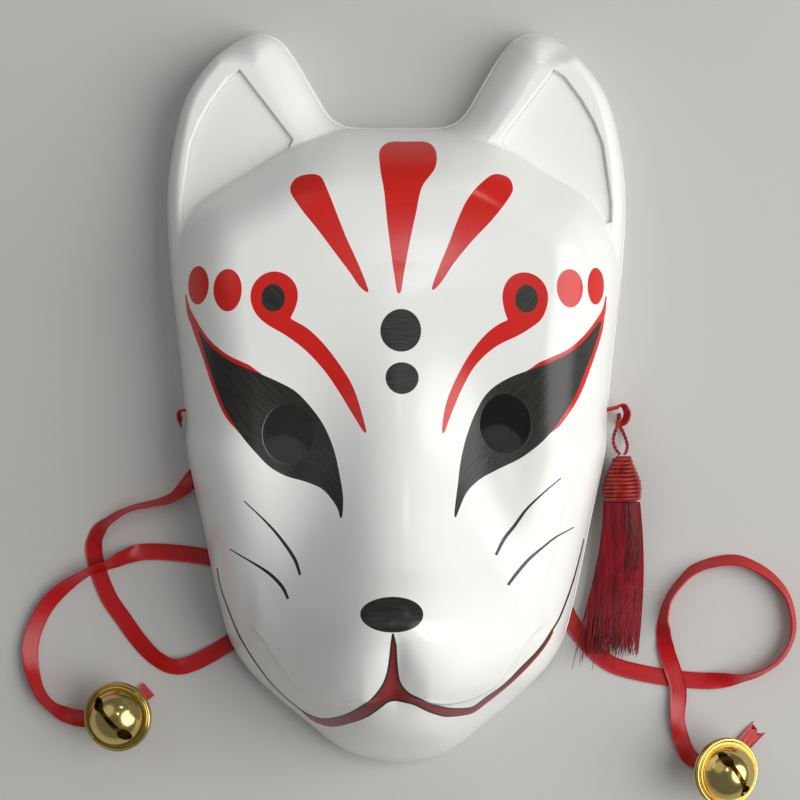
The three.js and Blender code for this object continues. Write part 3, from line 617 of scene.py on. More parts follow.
# %% The twisted cord that holds the tassel
PLY_RADIUS = 0.37
PLY_OFFSET = 0.32
PLY_PITCH = 3.2
CORD_STEPS = 240
TASSEL_CORD_ROUTE = [
    (80.9, -20.6, 7.1), (79.3, -18.4, 6.7), (78.6, -15.6, 6.8), (78.9, -12.9, 8.2), (79.6, -10.8, 9.2),
    (80.4, -8.8, 9.1), (80.8, -7, 7.6), (80.8, -6.2, 5), (80.8, -6.9, 2.2), (81.4, -9.4, 1),
    (82.8, -13, 1.5), (83.8, -16.4, 3.4), (83.6, -18.8, 5.8), (82.7, -20.6, 7.1),
]
cord_line, _, cord_length = even_steps(smooth_line(TASSEL_CORD_ROUTE), CORD_STEPS)
along = np.gradient(cord_line, axis=0)
along /= np.linalg.norm(along, axis=1)[:, None]
across = np.cross(along, (0, 0, 1))
across /= np.linalg.norm(across, axis=1)[:, None]
upright = np.cross(across, along)
plies = []
ply_faces = []
for start in (0, np.pi):
    angle = start + 2 * np.pi * np.linspace(0, cord_length, len(cord_line)) / PLY_PITCH
    offset = across * np.cos(angle)[:, None] + upright * np.sin(angle)[:, None]
    points, faces = round_tube(cord_line + PLY_OFFSET * offset, PLY_RADIUS, sides=8)
    ply_faces += [[i + len(points) * len(plies) for i in face] for face in faces]
    plies.append(points)
tassel_cord = mesh_object("tassel_twisted_cord", np.vstack(plies) * MM, ply_faces, sharp_angle=60)
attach(tassel_cord, "root")
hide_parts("tassel_cord")
print("twisted cord:", round(cord_length, 1), "mm")

# %% [markdown]
# ## The mask's form
#
# The shell is moulded plastic, so its form is all soft hills: a snout, two cheeks, a hollow round
# each eye. The solids were made from a few lists of heights and widths, and the same lists give the
# fine mesh here, so both agree. Everything is a height over the floor: the face rises from its own
# outline in a quarter round, and each ear stands behind it with a flat panel sunk into its front.

# %% The outline and the heights, as shares of the mask's size
LIP_WIDTH = 0.6
LIP_HEIGHT = 1.8
WALL = 2
CROWN = 86 - LIP_HEIGHT
FACE_ROUND = 28
EAR_HEIGHT = 22
EAR_OUTER_ROUND = 6
EAR_INNER_ROUND = 15
EAR_BLEND = 5
PANEL_DEPTH = 1.6
PANEL_STEP = 0.45
GROOVE_DEPTH = 0.45
GROOVE_WIDTH = 0.7
ARCH_HEIGHT = 4.5
ARCH_START = -0.06
ARCH_END = -0.815
ARCH_RUN = 0.09
CREASE_DEPTH = 2.1
CREASE_WIDTH = 0.75
CREASE_BEAD = 0.3
CREASE_FADE = 22
CREASE_INNER_END = (0.05, 0.14)
CREASE_OUTER_END = (0.56, 0.63)
SIDE_FALL = 0.05
SNOUT_POWER = 2.2
FURROW_DEPTH = 0.028
FURROW_HALF_WIDTH = 0.045
FURROW_LOWER_END = (-0.79, -0.73)
FURROW_UPPER_END = (-0.66, -0.56)
OUTLINE_STEPS = 20

EAR_EDGE = [
    (0, 0.742), (0.15, 0.742), (0.228, 0.748), (0.288, 0.772), (0.367, 0.851), (0.455, 0.942),
    (0.515, 0.984), (0.6, 1), (0.69, 0.983), (0.807, 0.923), (0.921, 0.818), (0.983, 0.66), (1, 0.53),
]
BROW_LINE = [
    (0, 0.742), (0.15, 0.742), (0.26, 0.74), (0.36, 0.728), (0.47, 0.702), (0.66, 0.627),
    (0.86, 0.545), (0.95, 0.46),
]
CHEEK_EDGE = [
    (0.984, 0.34), (0.955, 0.175), (0.933, 0.048), (0.907, -0.145), (0.843, -0.338), (0.77, -0.558),
    (0.712, -0.675), (0.6, -0.775), (0.394, -0.89), (0.217, -0.972), (0, -1),
]
PANEL = [
    (0.667, 0.881), (0.437, 0.692), (0.5, 0.6), (0.8, 0.45), (0.918, 0.47), (0.918, 0.522),
    (0.899, 0.607), (0.882, 0.68), (0.844, 0.74), (0.79, 0.799), (0.718, 0.86),
]
BASE_HEIGHT = [
    (-1, 0.36), (-0.83, 0.45), (-0.6, 0.49), (-0.38, 0.51), (-0.15, 0.53), (0.08, 0.545), (0.3, 0.55),
    (0.55, 0.51), (0.74, 0.42), (1, 0.3),
]
SNOUT_HEIGHT = [
    (-1, 0), (-0.95, 0.04), (-0.88, 0.13), (-0.8, 0.25), (-0.72, 0.37), (-0.63, 0.47), (-0.56, 0.505),
    (-0.5, 0.455), (-0.42, 0.34), (-0.3, 0.22), (-0.15, 0.11), (0, 0.045), (0.15, 0.015), (0.35, 0),
]
SNOUT_WIDTH = [(-1, 0.36), (-0.8, 0.42), (-0.65, 0.43), (-0.5, 0.38), (-0.3, 0.3), (0, 0.21), (0.35, 0.18)]
CREASE_LINE = [
    (0.05, -0.755), (0.22, -0.78), (0.39, -0.755), (0.47, -0.695), (0.555, -0.622), (0.62, -0.595),
]
# Each swelling: its rise, its place to the side, its width, its place along, its length
LIPS = (0.05, 0.24, 0.19, -0.665, 0.12)
CHEEK = (0.035, 0.64, 0.22, -0.3, 0.24)
EYE_SOCKET = (-0.03, 0.42, 0.24, -0.06, 0.16)
CHIN_BALL = (0.05, 0, 0.3, -0.88, 0.07)
MASK_SCALE = np.array([HALF_WIDTH, HALF_LENGTH])


def mirrored(knots):
    return np.array(list(knots) + [(-u, v) for u, v in reversed(knots[1:-1])]) * MASK_SCALE


mask_line = smooth_line(mirrored(EAR_EDGE + CHEEK_EDGE), closed=True, steps=OUTLINE_STEPS)
face_line = smooth_line(mirrored(BROW_LINE + CHEEK_EDGE), closed=True, steps=OUTLINE_STEPS)
print("outline:", len(mask_line), "points,", np.ptp(mask_line, axis=0).round(1), "mm")

# %% Distances to a line
BLOCK = 1500


def nearest(line, points):
    """Distance from each point to a closed line, and the direction away from it."""
    start, run = line, np.roll(line, -1, axis=0) - line
    run_squared = (run**2).sum(axis=1)
    found = []
    for k in range(0, len(points), BLOCK):
        part = points[k:k + BLOCK, None]
        share = np.clip(((part - start) * run).sum(axis=2) / run_squared, 0, 1)
        away = part - start - share[..., None] * run
        squared = (away**2).sum(axis=2)
        best = squared.argmin(axis=1)
        found.append(away[np.arange(len(best)), best])
    away = np.vstack(found)
    distance = np.linalg.norm(away, axis=1)
    return distance, away / np.maximum(distance, 1e-9)[:, None]


def inside(line, points):
    """Which points lie inside a closed line."""
    result = np.zeros(len(points), bool)
    near = np.all((points > line.min(axis=0)) & (points < line.max(axis=0)), axis=1)
    places = np.nonzero(near)[0]
    after = np.roll(line, -1, axis=0)
    rise = np.where(after[:, 1] == line[:, 1], 1e-12, after[:, 1] - line[:, 1])
    for k in range(0, len(places), BLOCK):
        x, y = points[places[k:k + BLOCK]].T[:, :, None]
        spans = (line[:, 1] > y) != (after[:, 1] > y)
        crossing = line[:, 0] + (y - line[:, 1]) * (after[:, 0] - line[:, 0]) / rise
        result[places[k:k + BLOCK]] = (spans & (x < crossing)).sum(axis=1) % 2 == 1
    return result


print("distance tools ready")

# %% Heights of the face
def profile(knots, place):
    """Value of a smooth line through places and values."""
    x, y = np.array(knots, float).T
    low = np.maximum(np.arange(len(x)) - 1, 0)
    high = np.minimum(np.arange(len(x)) + 1, len(x) - 1)
    slope = (y[high] - y[low]) / (x[high] - x[low])
    place = np.clip(place, x[0], x[-1])
    i = np.clip(np.searchsorted(x, place, "right") - 1, 0, len(x) - 2)
    run = x[i + 1] - x[i]
    t = (place - x[i]) / run
    start = (1 + 2 * t) * (1 - t) ** 2 * y[i] + t * (1 - t) ** 2 * run * slope[i]
    return start + t * t * (3 - 2 * t) * y[i + 1] + t * t * (t - 1) * run * slope[i + 1]


def swelling(form, side, v):
    rise, middle, width, place, length = form
    return rise * np.exp(-((side - middle) / width) ** 2 - ((v - place) / length) ** 2)


def face_height(u, v):
    """The face's height, as a share of the crown, where u and v are shares of its half sizes."""
    side = np.abs(u)
    height = profile(BASE_HEIGHT, v) - SIDE_FALL * side * side
    height += profile(SNOUT_HEIGHT, v) * np.exp(-((side / profile(SNOUT_WIDTH, v)) ** SNOUT_POWER))
    for form in (LIPS, CHEEK, EYE_SOCKET, CHIN_BALL):
        height += swelling(form, side, v)
    furrow = np.exp(-((u / FURROW_HALF_WIDTH) ** 2))
    length = ease(*FURROW_LOWER_END, v) * (1 - ease(*FURROW_UPPER_END, v))
    return height - FURROW_DEPTH * furrow * length


def crease_step(u, v):
    """The muzzle stands over the jaw by a small step, which fades out upwards."""
    side = np.abs(u)
    above = (v - profile(CREASE_LINE, side)) * HALF_LENGTH
    length = ease(*CREASE_INNER_END, side) * (1 - ease(*CREASE_OUTER_END, side))
    step = ease(-CREASE_WIDTH, CREASE_WIDTH, above) * (1 - ease(CREASE_WIDTH, CREASE_FADE, above))
    bead = CREASE_BEAD * np.exp(-((above - CREASE_WIDTH) / CREASE_WIDTH) ** 2)
    return length * (CREASE_DEPTH * step + bead)


def rim_height(y):
    v = y / HALF_LENGTH
    upper = 1 - ease(ARCH_START - ARCH_RUN, ARCH_START, v)
    return ARCH_HEIGHT * upper * ease(ARCH_END, ARCH_END + ARCH_RUN, v)


def quarter_round(distance, radius):
    return np.sqrt(1 - (1 - np.clip(distance / radius, 0, 1)) ** 2)


NOSE_PLACE = -0.56
nose = LIP_HEIGHT + CROWN * face_height(np.zeros(1), np.full(1, NOSE_PLACE))[0]
print("height of the nose:", round(float(nose), 1), "mm")

# %% The surface over and under the shell
INNER_INSET = LIP_WIDTH + WALL
INNER_DROP = WALL - LIP_HEIGHT
EAR_ROOT = (0.2, 0.34)
PANEL_ROOT = (0.2, 0.45)
EAR_FADE = 6
FILLET = 1.5
FILLET_FADE = 4
SMALLEST_FILLET = 1e-6
panel_line = np.array(PANEL) * MASK_SCALE


def past_panel(points):
    """Distance past the line from the panel's tip to its inner corner, towards the other ear."""
    tip, corner = panel_line[:2]
    run = corner - tip
    x, y = np.abs(points[:, 0]) - tip[0], points[:, 1] - tip[1]
    return (x * run[1] - y * run[0]) / np.hypot(*run)


def ear_surface(points, from_edge, inset, drop):
    v = points[:, 1] / HALF_LENGTH
    past = ease(-EAR_BLEND, EAR_BLEND, past_panel(points))
    radius = EAR_OUTER_ROUND + (EAR_INNER_ROUND - EAR_OUTER_ROUND) * past
    height = (EAR_HEIGHT - LIP_HEIGHT - drop) * quarter_round(from_edge - inset, radius)
    return height - EAR_FADE * (1 - ease(*EAR_ROOT, v))


def face_surface(points, from_edge, inset, drop):
    u, v = (points / MASK_SCALE).T
    crown = CROWN * face_height(u, v) + crease_step(u, v) - drop
    flat = 1 - ease(0, FACE_ROUND, from_edge - inset)
    return crown * quarter_round(from_edge - inset, FACE_ROUND) + rim_height(points[:, 1]) * flat


def outer_surface(points, from_face, from_mask):
    folded = np.column_stack([np.abs(points[:, 0]), points[:, 1]])
    depth = np.where(inside(panel_line, folded), nearest(panel_line, folded)[0], 0)
    ear = ear_surface(points, from_mask, LIP_WIDTH, 0)
    ear = np.minimum(ear, EAR_HEIGHT - LIP_HEIGHT - PANEL_DEPTH * ease(0, PANEL_STEP, depth))
    groove = ease(0, PANEL_STEP, depth) * (1 - ease(PANEL_STEP, PANEL_STEP + GROOVE_WIDTH, depth))
    ear -= GROOVE_DEPTH * groove
    face = face_surface(points, from_face, LIP_WIDTH, 0)
    fillet = FILLET * ease(LIP_WIDTH, FILLET_FADE, from_mask) + SMALLEST_FILLET
    near = np.maximum(1 - np.abs(face - ear) / fillet, 0)
    return LIP_HEIGHT + np.maximum(face, ear) + near * near * fillet / 4


def inner_surface(points, from_face, from_mask):
    drop = INNER_DROP + PANEL_DEPTH * ease(*PANEL_ROOT, points[:, 1] / HALF_LENGTH)
    ear = ear_surface(points, from_mask, INNER_INSET, drop)
    return np.maximum(face_surface(points, from_face, INNER_INSET, INNER_DROP), ear)


print("surface ready, with a crown of", round(CROWN, 1), "mm")

# %% Distances, heights and directions anywhere on the shell
SLOPE_STEP = (0.01, 0.05)


def edge_distances(points):
    from_mask, away_mask = nearest(mask_line, points)
    from_face, away_face = nearest(face_line, points)
    sign = np.where(inside(face_line, points), 1, -1)
    return from_face * sign, away_face * sign[:, None], from_mask, away_mask


def height_at(surface, points):
    from_face, _, from_mask, _ = edge_distances(points)
    return surface(points, from_face, from_mask)


def normals_at(surface, points, known):
    """Exact directions of the surface, so that reflections on the gloss run smoothly."""
    from_face, away_face, from_mask, away_mask = known
    step = np.clip(0.3 * (from_mask - LIP_WIDTH), *SLOPE_STEP)[:, None]
    slope = []
    for axis in ((1, 0), (0, 1)):
        move = step * axis
        face_change, mask_change = (away_face * move).sum(axis=1), (away_mask * move).sum(axis=1)
        up = surface(points + move, from_face + face_change, from_mask + mask_change)
        down = surface(points - move, from_face - face_change, from_mask - mask_change)
        slope.append((up - down) / (2 * step[:, 0]))
    normal = np.column_stack([-slope[0], -slope[1], np.ones(len(points))])
    return normal / np.linalg.norm(normal, axis=1)[:, None]


def set_in(line, distance):
    """A closed line moved inwards."""
    along = np.roll(line, -1, axis=0) - np.roll(line, 1, axis=0)
    along /= np.linalg.norm(along, axis=1)[:, None]
    return line + distance * np.column_stack([along[:, 1], -along[:, 0]])


print("directions ready")

# %% [markdown]
# ## What is painted on it
#
# A painter turns the white blank into a fox with two pots of paint. The marks here are outlines in
# millimetres, as seen from the front: three strokes on the brow, a comma that curls round each false
# eyebrow, dots, the large slanted eyes, four whiskers, the nose and the mouth. The outlines become
# edges of the mesh, so the paint ends crisply, as it does from a loaded brush. Each line of the list
# is one mark: its colour, then either an oval's middle and half sizes, or the points round it.

# %% The marks, in millimetres
RED, BLACK, MOUTH = (1, 0, 0), (0, 1, 0), (0, 0, 1)
OVALS = [
    (RED, -68.8, 39, 4, 6.7), (RED, -58, 36.9, 5.1, 7.2), (RED, 59.8, 37.6, 4.7, 6.6),
    (RED, 69.4, 38.7, 3.2, 6.4),
]
BLACK_OVALS = [
    (BLACK, -42.2, 34.1, 4, 4.8), (BLACK, 44.7, 33.8, 3.9, 4.8), (BLACK, 1.6, 22.9, 6.9, 7.4),
    (BLACK, 2, 6.6, 5.6, 5.5), (BLACK, -1.3, -70.7, 10.4, 5.5),
]
BROW_STROKES = [
    [(-5.7, 86.5), (-5.6, 79.7), (-4.2, 71), (-3.2, 61.2), (-2.1, 52.2), (-0.8, 42.9), (0.6, 35.6),
     (1.3, 35.6), (2.7, 42.9), (4.7, 53.6), (6.8, 63.3), (8.9, 72.4), (13.6, 79.8), (13.7, 86.5),
     (11.2, 89.7), (4.1, 90.1), (-2.9, 89.7)],
    [(-29.9, 77.3), (-34.7, 76), (-36.7, 72), (-33.4, 65.8), (-26.8, 57.4), (-20.6, 49.1),
     (-15.5, 42.3), (-12.4, 37.8), (-9.8, 35.9), (-9.5, 36.2), (-10.3, 39.1), (-13.4, 46.7),
     (-17.2, 55), (-21, 64.7), (-23.8, 71.7), (-26.3, 76.5)],
    [(34.3, 77.5), (39.2, 76.2), (40.4, 72.1), (38.9, 68.8), (33.2, 61.3), (26, 53.6), (19.8, 46),
     (14.7, 38.5), (12.5, 36.7), (12.2, 37), (14.7, 44.7), (17.8, 52.2), (21.2, 61.2), (24.3, 67.8),
     (28.9, 73.6)],
]
COMMAS = [
    [(-36.2, 27.2), (-35.9, 27.9), (-34.6, 30.6), (-33.7, 34.5), (-34.4, 38.4), (-36.8, 41.4),
     (-40.5, 43.1), (-44.2, 42.8), (-47.5, 40.7), (-49.5, 37.6), (-50, 34), (-49.3, 31), (-47.6, 28),
     (-44.4, 25.1), (-38.1, 21.4), (-31.3, 16.3), (-25.1, 9.7), (-20.7, 3.6), (-14.1, -7.1),
     (-10.6, -12.2), (-10.2, -12.1), (-11.3, -7), (-14.8, 3.6), (-19.3, 11.1), (-25.1, 18.6),
     (-30.6, 23.8), (-35.8, 26.8)],
    [(38.2, 26.6), (37.9, 27.4), (37, 30.2), (36.4, 34.8), (37.4, 38.8), (40, 41.8), (44.1, 42.9),
     (48.2, 41.6), (51, 38.6), (52.1, 34.8), (51.5, 30.4), (49.6, 26.6), (45.8, 23.6), (41.8, 21.2),
     (34.2, 17.4), (27.4, 11.2), (22.6, 3), (18.5, -6.7), (16.2, -12.3), (15.8, -12.3), (16.1, -6.7),
     (17.8, 0.1), (21.2, 7.8), (26, 16), (31.3, 22.2), (35.2, 25.1), (37.7, 26.3)],
]
LEFT_EYE_TOP = [
    (-71.5, 27.4), (-66, 19.6), (-59.4, 13.9), (-53.3, 10.8), (-46.5, 8), (-39.6, 4.9), (-34.8, 2.2),
    (-30, -2.6), (-24.8, -9.8), (-21.3, -18), (-19.2, -26.8), (-18, -34.2), (-18.5, -40.9),
]
LEFT_EYE_UNDER = [
    (-18.9, -40.9), (-19.7, -38.2), (-21.8, -34.9), (-25.4, -31.3), (-30.9, -29), (-37.9, -27),
    (-43.4, -23.9), (-48.2, -19.1), (-53.7, -12.6), (-59.1, -4), (-62.8, 4.6), (-66.9, 16.1),
    (-69.5, 24.2),
]
RIGHT_EYE_TOP = [
    (71.7, 26.8), (65.8, 20.3), (59.6, 15.3), (53.2, 12.2), (44.9, 9.1), (39.4, 7), (34, 3.9),
    (30.5, 0.5), (27.4, -5), (24.3, -12.9), (22.2, -21.1), (21.1, -28.9), (19.8, -40.6),
]
RIGHT_EYE_UNDER = [
    (20.1, -40.8), (21.7, -37.3), (24.2, -32.3), (28.4, -28.3), (34.6, -24.9), (42.2, -21.2),
    (47.7, -17.4), (51.8, -13.6), (56.8, -7.4), (62.3, 1.2), (66, 9.9), (69.4, 18),
]
EYE_LINES = [
    ([(-73.9, 36), (-72.4, 29.4), (-66.4, 20), (-59.7, 14.2), (-53.4, 11), (-46.3, 8.1)], 2.6),
    ([(-73.9, 36), (-71.7, 27.5), (-67.2, 16.1), (-63.1, 4.6), (-59.3, -4.2), (-54, -12.4)], 2),
    ([(73.6, 35.4), (72.3, 29), (66.2, 20.8), (60, 15.6), (53.4, 12.4), (44.9, 9.1)], 2.6),
    ([(73.6, 35.4), (71.4, 24), (66.4, 9.9), (62.7, 1.3), (57, -7.2), (51, -14)], 2.4),
]
WHISKERS = [
    [(-52.3, -35.6), (-45.7, -41.7), (-40.9, -46.8), (-34.5, -55.4), (-32.6, -60.3)],
    [(-57.7, -52.6), (-51.1, -56), (-46.8, -58.3), (-42.5, -61.1), (-38.6, -64.9), (-36.7, -68.4)],
    [(56.7, -27.8), (50.1, -33.2), (44.5, -38.6), (40.7, -43.8), (36.9, -48.5), (34, -53.8)],
    [(62, -45.2), (55.2, -48.2), (50.2, -51.8), (45.6, -55.5), (40.6, -60.9), (38.1, -63.9)],
]
MOUTH_LEFT_TOP = [
    (-1, -76.6), (-1.5, -80.5), (-1.9, -85), (-2.7, -90.3), (-4, -94.3), (-7, -99.1), (-11.8, -103.8),
    (-18.1, -108.6), (-25.5, -111.9), (-29.6, -111.7), (-33.6, -110.1), (-39.6, -105.2),
    (-45.2, -98.1), (-50.4, -90.7), (-55.5, -82.5), (-59.6, -73.5), (-62.3, -66.3), (-63.3, -60.2),
]
MOUTH_LEFT_UNDER = [
    (-34.2, -110), (-29.8, -114.2), (-26.1, -115.1), (-22, -114.7), (-15.4, -111.2), (-10.2, -107.8),
    (-6.1, -104.3), (-2.7, -101.4), (0, -100.9),
]
MOUTH_RIGHT_TOP = [
    (-1, -76.6), (-0.2, -80.5), (0, -85), (0.4, -90.3), (1.3, -94.6), (4, -98.1), (8.6, -100.6),
    (15.1, -104.2), (21.4, -106.2), (26.4, -106.5), (31.2, -103.1), (37.1, -99.1), (43.1, -93.4),
    (48.1, -89), (51.4, -85.4), (54, -81.8), (57, -77.7), (60.1, -71), (62.8, -63.8), (64.7, -57.6),
    (66.6, -50.2),
]
MOUTH_RIGHT_UNDER = [
    (0, -100.9), (2, -101.3), (6, -102.4), (11.7, -105.9), (16.9, -108.4), (21.9, -109.5),
    (26.6, -109.4), (31.5, -106), (37.3, -101.3), (48.2, -91.2), (52.8, -85.8), (55, -81.6),
]
print("outlines ready")

# %% Draw the marks
WHISKER_WIDTH = 1.2
MOUTH_LINE = 0.8
MARK_STEP = 0.7
LIFT_OFF = 0.86
EYE_BRUSH = (0.25, 0.25, 0.1)
WHISKER_BRUSH = (0.35, 0.8, 0.8)
MOUTH_BRUSH = (0.8, 0.1, 0.8)
PARTING_BRUSH = (0.3, 0.2, 0.3)


def oval(x, y, half_x, half_y):
    angle = np.linspace(0, 2 * np.pi, int(4 + 2 * np.pi * half_x / MARK_STEP), endpoint=False)
    hand = 1 + 0.012 * np.sin(2 * angle + x) + 0.01 * np.sin(3 * angle + y)
    return np.column_stack([x + half_x * hand * np.cos(angle), y + half_y * hand * np.sin(angle)])


def outline(points):
    line = smooth_line(points, closed=True, steps=8)
    length = np.linalg.norm(np.diff(np.vstack([line, line[:1]]), axis=0), axis=1).sum()
    return even_steps(np.vstack([line, line[:1]]), int(length / MARK_STEP))[0][:-1]


def stroke(points, width, start, full, end):
    """The outline of one pull of a thin brush: it lands thin, swells, and lifts off again.

    start and end are shares of its width, and full is the share of its length where it is widest.
    """
    line = smooth_line(points, steps=8)
    length = np.linalg.norm(np.diff(line, axis=0), axis=1).sum()
    line = even_steps(line, int(length / MARK_STEP))[0]
    along = np.gradient(line, axis=0)
    along /= np.linalg.norm(along, axis=1)[:, None]
    share = np.linspace(0, 1, len(line))
    landing = start + (1 - start) * ease(0, full, share)
    lift_off = 1 - (1 - end) * ease(LIFT_OFF, 1, share)
    half = width / 2 * landing * lift_off
    side = np.column_stack([-along[:, 1], along[:, 0]]) * half[:, None]
    return np.vstack([line + side, (line - side)[::-1]])


marks = [(pot, oval(*rest)) for pot, *rest in OVALS]
marks += [(RED, outline(points)) for points in BROW_STROKES + COMMAS]
marks += [(RED, stroke(line, width, *EYE_BRUSH)) for line, width in EYE_LINES]
marks += [(BLACK, outline(LEFT_EYE_TOP + LEFT_EYE_UNDER)), (BLACK, outline(RIGHT_EYE_TOP + RIGHT_EYE_UNDER))]
marks += [(pot, oval(*rest)) for pot, *rest in BLACK_OVALS]
marks += [(BLACK, stroke(line, WHISKER_WIDTH, *WHISKER_BRUSH)) for line in WHISKERS]
upper_right = MOUTH_RIGHT_TOP[1:16][::-1]
marks += [(MOUTH, outline(MOUTH_LEFT_TOP[:11] + MOUTH_LEFT_UNDER + MOUTH_RIGHT_UNDER[1:] + upper_right))]
marks += [(BLACK, stroke(line, MOUTH_LINE, *MOUTH_BRUSH)) for line in (MOUTH_LEFT_TOP, MOUTH_RIGHT_TOP)]
parting = MOUTH_LEFT_UNDER[4:] + MOUTH_RIGHT_UNDER[1:6]
marks += [(BLACK, stroke(parting, MOUTH_LINE, *PARTING_BRUSH))]
print(len(marks), "painted marks")

# %% [markdown]
# ## The mask's mesh
#
# The shell is drawn flat first, as a plan of triangles whose edges follow the outline, the folds of
# the ears and every painted mark. Each point is then lifted to its height. Sculpting would need far
# more points to hold such crisp paint edges. The inner side is a second, coarser plan, and the wall
# is closed between them along the rim, the eyes and the holes for the ribbons.

# %% Loops that both sides of the shell share
EYES = [(-0.446, -0.095), (0.451, -0.069)]
EYE_WIDTH = 17.8
EYE_LENGTH = 20.7
EYE_SIDES = 56
TIE_HOLE = 5
TIE_Y = -4.5
TIE_SIDES = 20
TIE_REACH = 12
TIE_MARGIN = 0.5
BESIDE_TIE = 30
HALVINGS = 26


def eye_loop(u, v):
    angle = np.linspace(0, 2 * np.pi, EYE_SIDES, endpoint=False)
    loop = np.column_stack([EYE_WIDTH / 2 * np.cos(angle), EYE_LENGTH / 2 * np.sin(angle)])
    return loop + np.array([u, v]) * MASK_SCALE


def halve(near, far, is_low):
    """Halves the span between near and far until it closes on where is_low ends."""
    for _ in range(HALVINGS):
        middle = (near + far) / 2
        low = is_low(middle)
        near, far = np.where(low, middle, near), np.where(low, far, middle)
    return middle


def tie_loop(side, surface, inset):
    """Where the round hole through a side wall meets a surface, as seen from the front."""
    angle = np.linspace(0, 2 * np.pi, TIE_SIDES, endpoint=False)
    y = TIE_Y + TIE_HOLE / 2 * np.cos(angle)
    z = TIE_HOLE_Z + TIE_HOLE / 2 * np.sin(angle)
    beside = mask_line[(mask_line[:, 0] > 0) & (np.abs(mask_line[:, 1]) < BESIDE_TIE)]
    beside = beside[np.argsort(beside[:, 1])]
    edge = np.interp(y, beside[:, 1], beside[:, 0])
    start = np.full(TIE_SIDES, inset + SMALLEST_GAP)
    found = halve(start, np.full(TIE_SIDES, inset + TIE_REACH),
                  lambda middle: height_at(surface, np.column_stack([edge - middle, y])) < z)
    return np.column_stack([side * (edge - found), y])


eye_loops = [eye_loop(*eye) for eye in EYES]
outer_ties = [tie_loop(side, outer_surface, LIP_WIDTH) for side in (-1, 1)]
inner_ties = [tie_loop(side, inner_surface, INNER_INSET) for side in (-1, 1)]
print("holes in the shell:", len(eye_loops) + len(outer_ties))

# %% Lay out a plan of triangles
CLEAR_OF_LINES = 0.62
CLEAR_OF_FOLDS = 0.25
MERGE_DISTANCE = 1e-5


def apart(points, lines, gap):
    """Drops the points that lie too close to any of the lines."""
    everything = np.vstack(lines)
    cell = {}
    for x, y in everything:
        cell.setdefault((int(x // gap), int(y // gap)), []).append((x, y))
    kept = []
    for x, y in points:
        i, j = int(x // gap), int(y // gap)
        close = (q for a in (-1, 0, 1) for b in (-1, 0, 1) for q in cell.get((i + a, j + b), ()))
        if all((x - p) ** 2 + (y - q) ** 2 > gap * gap for p, q in close):
            kept.append((x, y))
    return np.array(kept)


def hexagons(low, high, pitch):
    x = np.arange(low[0], high[0], pitch)
    y = np.arange(low[1], high[1], pitch * math.sqrt(3) / 2)
    grid = np.stack(np.meshgrid(x, y), axis=-1)
    grid[1::2, :, 0] += pitch / 2
    return grid.reshape(-1, 2)


def plan(boundary, holes, lines, loose, pitch):
    """Triangles between a boundary and its holes, with the closed lines as edges."""
    closed = [boundary, *holes]
    everything = closed + lines
    edges, total = [], 0
    for loop in everything:
        count = len(loop)
        edges += [(total + i, total + (i + 1) % count) for i in range(count)]
        total += count
    grid = hexagons(boundary.min(axis=0), boundary.max(axis=0), pitch)
    grid = grid[inside(boundary, grid)]
    grid = apart(grid, closed + lines + [loose], CLEAR_OF_LINES * pitch)
    for hole in holes:
        grid = grid[~inside(hole, grid)]
    flat = [Vector(p) for p in np.vstack([*everything, loose, grid])]
    points, _, faces, origin, _, _ = delaunay_2d_cdt(flat, edges, [], 0, MERGE_DISTANCE)
    points = np.array([tuple(p) for p in points])
    faces = np.array(faces)
    middles = points[faces].mean(axis=1)
    keep = inside(boundary, middles)
    for hole in holes:
        keep &= ~inside(hole, middles)
    place = {}
    for new, old in enumerate(origin):
        place.update((k, new) for k in old)
    loops, total = [], 0
    for loop in closed:
        loops.append([place[total + i] for i in range(len(loop))])
        total += len(loop)
    a, b, c = np.moveaxis(points[faces], 1, 0)
    turned_over = (b[:, 0] - a[:, 0]) * (c[:, 1] - a[:, 1]) < (b[:, 1] - a[:, 1]) * (c[:, 0] - a[:, 0])
    faces[turned_over] = faces[turned_over][:, ::-1]
    return points, faces[keep], loops


def edge_rings(inset, distances, reach):
    """Rings of points inside the shell's edge, left out within reach of the tie holes."""
    rings = np.vstack([set_in(mask_line, inset + distance) for distance in distances])
    beside_tie = np.abs(rings[:, 1] - TIE_Y) < TIE_HOLE / 2 + TIE_MARGIN
    return rings[~(beside_tie & (np.abs(rings[:, 0]) > HALF_WIDTH - reach))]


print("plan tools ready")

# %% The plan of the outer side
OUTER_PITCH = 1.15
EDGE_RINGS = [0.06, 0.16, 0.34, 0.62, 1.05, 1.7, 2.6, 3.7, 5, 6.3]
CREASE_RINGS = [-1.2, -0.9, -0.6, -0.3, 0, 0.3, 0.6, 0.9, 1.2, 1.6, 2.1, 2.8]
PANEL_RINGS = [-0.3, 0, 0.1, 0.2, 0.3, 0.4, 0.5, 0.65, 0.85, 1.05, 1.25]
FOLD_RINGS = [-0.5, -0.22, 0, 0.16, 0.4, 0.8, 1.5, 2.5]
FOLD_REACH = 9.0
FOLD_SPAN = (0.3 * HALF_WIDTH, 0.93 * HALF_WIDTH)
PANEL_STEPS = 260

brow = smooth_line(np.array(BROW_LINE) * MASK_SCALE, steps=28)
brow = brow[(brow[:, 0] > FOLD_SPAN[0]) & (brow[:, 0] < FOLD_SPAN[1])]
down = np.gradient(brow, axis=0)
down = np.column_stack([down[:, 1], -down[:, 0]]) / np.linalg.norm(down, axis=1)[:, None]


def under_ear(middle):
    spots = brow + down * middle[:, None]
    from_face, _, from_mask, _ = edge_distances(spots)
    ear_floor = np.minimum(ear_surface(spots, from_mask, LIP_WIDTH, 0), EAR_HEIGHT - LIP_HEIGHT - PANEL_DEPTH)
    return face_surface(spots, from_face, LIP_WIDTH, 0) < ear_floor


